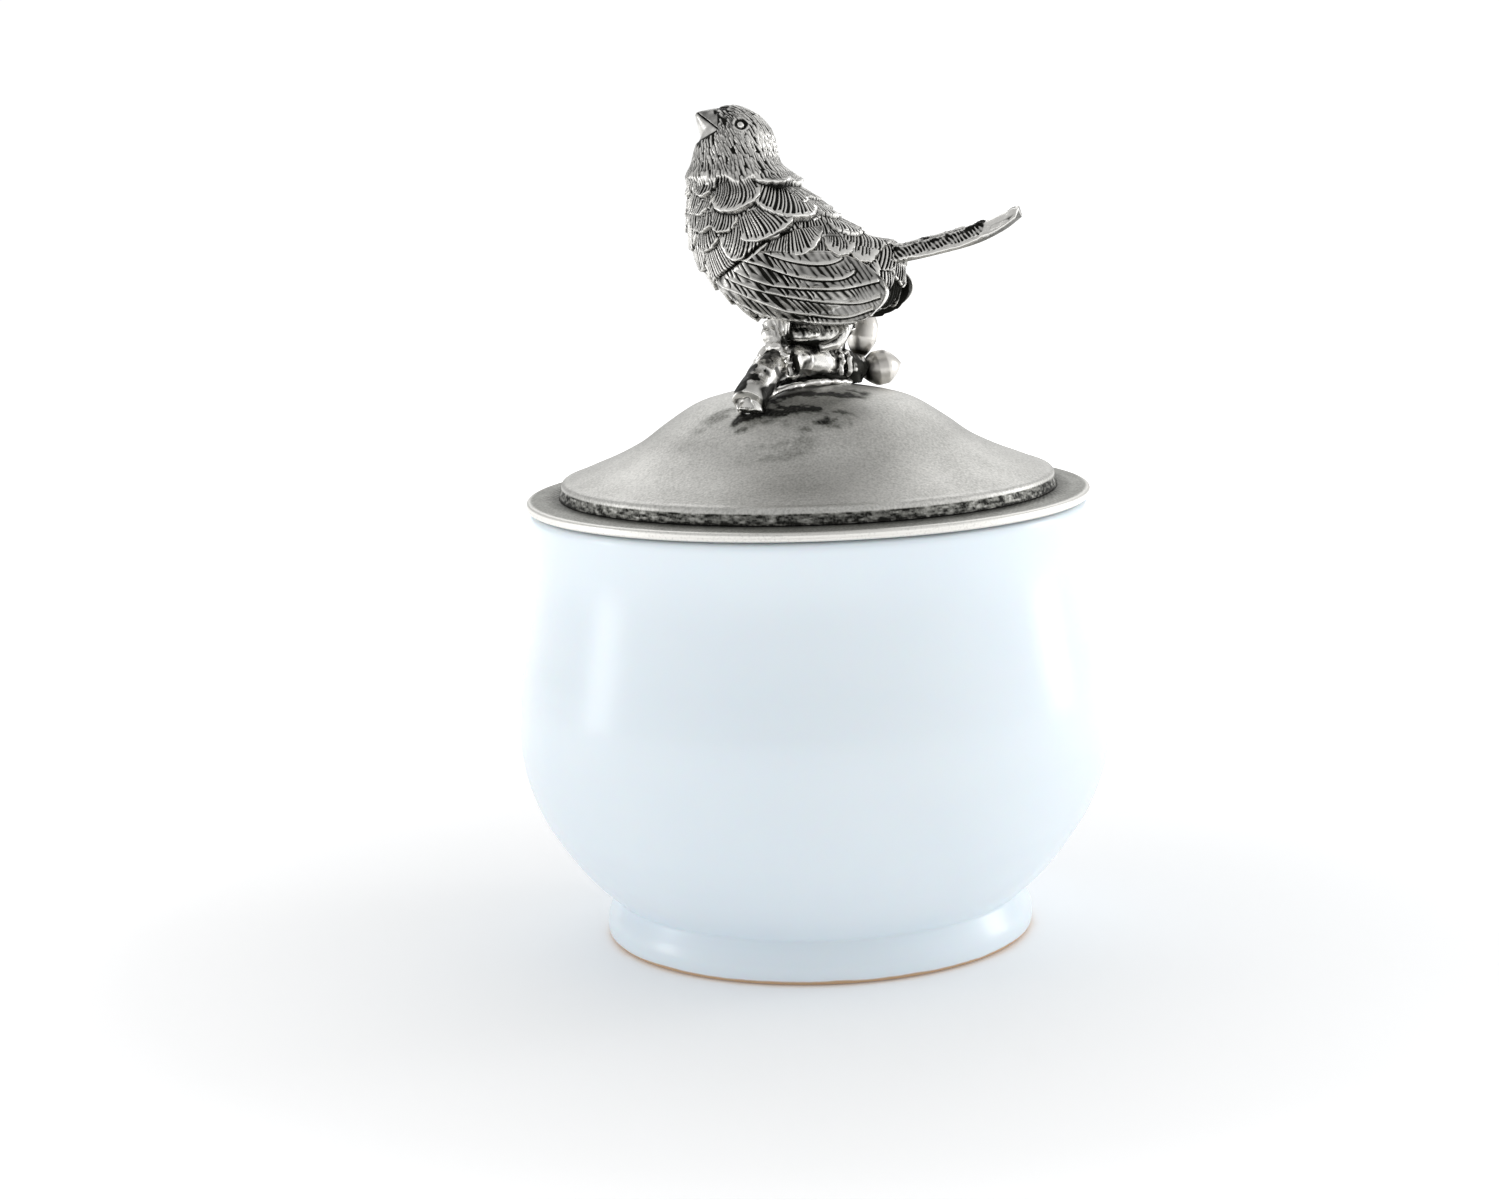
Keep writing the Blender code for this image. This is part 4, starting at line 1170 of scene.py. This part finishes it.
def make_brim(pewter):
    """The flat brim, dark by the dome's wall and bright on its rounded edge."""
    outline = np.vstack([catmull(BRIM_TOP, 40), catmull(BRIM_NOSE, 24)[1:], BRIM_UNDERSIDE])
    grid = revolve(outline, BRIM_STEPS)
    r, z = np.hypot(grid[..., 0], grid[..., 1]), grid[..., 2]
    theta = np.arctan2(grid[..., 1], grid[..., 0])
    scratch = 0.5 + 0.5 * np.sin(theta * 190 + 6 * np.sin(theta * 7) + r * 9)
    groove = before(r, 42.6, 2.4) * (z > 71.2)
    dark = groove * (0.42 + 0.25 * scratch)
    flat = 0.34 * (z > 71.5) * before(r, 44.6, 0.5) * (1 - groove)
    nose_light = -0.22 * past(r, 44.4, 0.3)
    mesh = ring_mesh("lid_brim", grid)
    store(mesh, "patina", np.clip(0.20 + dark + flat + nose_light, 0, 1).ravel())
    place("lid_brim_spun", mesh, pewter, "lid_brim")


# ---------------------------------------------------------------- studio
def make_floor():
    """A white floor that glows a little, more so further from the bowl."""
    floor_mesh = bpy.data.meshes.new("floor")
    bm = bmesh.new()
    bmesh.ops.create_grid(bm, x_segments=1, y_segments=1, size=3.0)
    bm.to_mesh(floor_mesh)
    bm.free()
    floor = add_object("floor", floor_mesh)
    made, tree, shader = material(
        "floor white", Base_Color=(0.90, 0.90, 0.90, 1), Roughness=0.6, Specular_IOR_Level=0.2,
        Emission_Strength=1.0,
    )
    where = node(tree, "ShaderNodeTexCoord")
    far = node(tree, "ShaderNodeVectorMath", operation="LENGTH")
    tree.links.new(where.outputs["Object"], far.inputs[0])
    glow = [(0.04, 0.11), (0.11, 0.27), (0.20, 0.62)]
    ramp(tree, far.outputs["Value"], glow, shader.inputs["Emission Color"])
    floor_mesh.materials.append(made)
    floor.location.z = -0.0001


def make_surroundings():
    """A pale room for reflections, darker above, in front and behind. The camera sees white."""
    world = bpy.data.worlds.new("studio")
    bpy.context.scene.world = world
    world.use_nodes = True
    tree = world.node_tree
    where = node(tree, "ShaderNodeTexCoord")
    split = node(tree, "ShaderNodeSeparateXYZ")
    tree.links.new(where.outputs["Generated"], split.inputs[0])
    x, y, z = (split.outputs[axis] for axis in "XYZ")
    aside = math_node(tree, "MULTIPLY", x, math_node(tree, "ADD", x, 0.65))
    bright = math_node(tree, "ADD", 0.78, math_node(tree, "MULTIPLY", aside, 0.19))
    towards_camera = math_node(tree, "MULTIPLY", y, -1.0)
    for way, power, share in ((z, 3.0, 0.18), (towards_camera, 3.0, 0.38), (y, 2.0, 0.22)):
        lobe = math_node(tree, "POWER", math_node(tree, "MAXIMUM", way, 0.0), power)
        bright = math_node(tree, "SUBTRACT", bright, math_node(tree, "MULTIPLY", lobe, share))
    background = tree.nodes["Background"]
    background.inputs["Color"].default_value = (1, 1, 1, 1)
    tree.links.new(bright, background.inputs["Strength"])
    seen = node(tree, "ShaderNodeBackground", Color=(1, 1, 1, 1), Strength=1.05)
    path = node(tree, "ShaderNodeLightPath")
    mix = node(tree, "ShaderNodeMixShader")
    tree.links.new(path.outputs["Is Camera Ray"], mix.inputs["Fac"])
    tree.links.new(background.outputs[0], mix.inputs[1])
    tree.links.new(seen.outputs[0], mix.inputs[2])
    tree.links.new(mix.outputs[0], tree.nodes["World Output"].inputs["Surface"])


def make_lights():
    """Soft boxes at both sides and behind. Each has its place, size and power."""
    aim = Vector((0, 0, 0.04))
    for name, at, size, power in (
        ("softbox_left", (-0.70, -0.02, 0.12), (0.16, 0.20), 0.42),
        ("softbox_right", (0.66, 0.20, 0.16), (0.18, 0.28), 0.78),
        ("softbox_back", (0.0, 0.75, 0.55), (0.9, 0.35), 1.2),
    ):
        light = bpy.data.lights.new(name, "AREA")
        light.shape = "RECTANGLE"
        light.size, light.size_y = size
        light.energy = power
        obj = add_object(name, light)
        obj.location = at
        obj.rotation_euler = (aim - Vector(at)).to_track_quat("-Z", "Y").to_euler()


def make_camera():
    """The camera where the ovals of the brim, the dome's edge and the foot put it."""
    camera = add_object("camera", bpy.data.cameras.new("camera"))
    camera.data.lens = 70.6
    camera.data.sensor_width = 36.0
    camera.data.clip_start, camera.data.clip_end = 0.01, 20.0
    camera.location = (0.0, -0.4678, 0.1379)
    pitch, yaw, roll = 0.177, -0.021, -0.033
    ahead = Vector((math.sin(yaw) * math.cos(pitch), math.cos(yaw) * math.cos(pitch), -math.sin(pitch)))
    right = ahead.cross(Vector((0, 0, 1))).normalized()
    up = right.cross(ahead)
    tilted_right = right * math.cos(roll) + up * math.sin(roll)
    tilted_up = up * math.cos(roll) - right * math.sin(roll)
    camera.rotation_euler = Matrix((tilted_right, tilted_up, -ahead)).transposed().to_euler()
    bpy.context.scene.camera = camera
    bpy.context.scene.view_settings.view_transform = "Standard"


def make_finial():
    """The bird and the twig with its buds."""
    feathered = cast_pewter(
        "antiqued pewter", (0.78, 0.77, 0.74), (0.014, 0.014, 0.012), (0.19, 0.5), 5000.0, 0.35
    )
    polished = cast_pewter(
        "polished cast pewter", (0.80, 0.79, 0.76), (0.016, 0.016, 0.014), (0.24, 0.45), 2500.0, 0.12
    )
    satin = cast_pewter("satin cast pewter", (0.72, 0.70, 0.66), (0.03, 0.028, 0.022), (0.34, 0.5), 1500.0, 0.16)
    tree = make_body(feathered)
    make_wings(feathered, tree)
    make_tail(feathered)
    make_twig(polished)
    make_legs(feathered)
    make_bud("bud_side", (9.6, 7.0, 89.9), (12.2, 7.7, 90.4), (15.7, 8.6, 91.0), 2.8, satin)
    make_bud("bud_upright", (8.9, 9.1, 92.4), (9.7, 10.0, 96.3), (10.7, 10.9, 100.4), 2.45, satin)


def finish_hidden_pieces():
    """Gives the CAD pieces that the lid hides their materials."""
    hidden = plain("dull pewter", (0.56, 0.55, 0.53), 0.42, 1.0)
    steel = plain("screw steel", (0.66, 0.66, 0.64), 0.28, 1.0)
    silicone = plain("clear silicone", (0.86, 0.87, 0.86), 0.5, 0.0)
    finishes = {"lid_collar": hidden, "seal_ring": silicone}
    for name in ("screw_front", "screw_rear", "washer_front", "washer_rear"):
        finishes[name] = steel
    for name, made in finishes.items():
        for slot in frame["nodes"][name].material_slots:
            slot.material = made


make_floor()
make_surroundings()
make_lights()
make_camera()
make_bowl(glazed_stoneware("glazed stoneware"))
lid_pewter = satin_pewter("satin pewter")
make_dome(lid_pewter)
make_brim(lid_pewter)
make_finial()
finish_hidden_pieces()
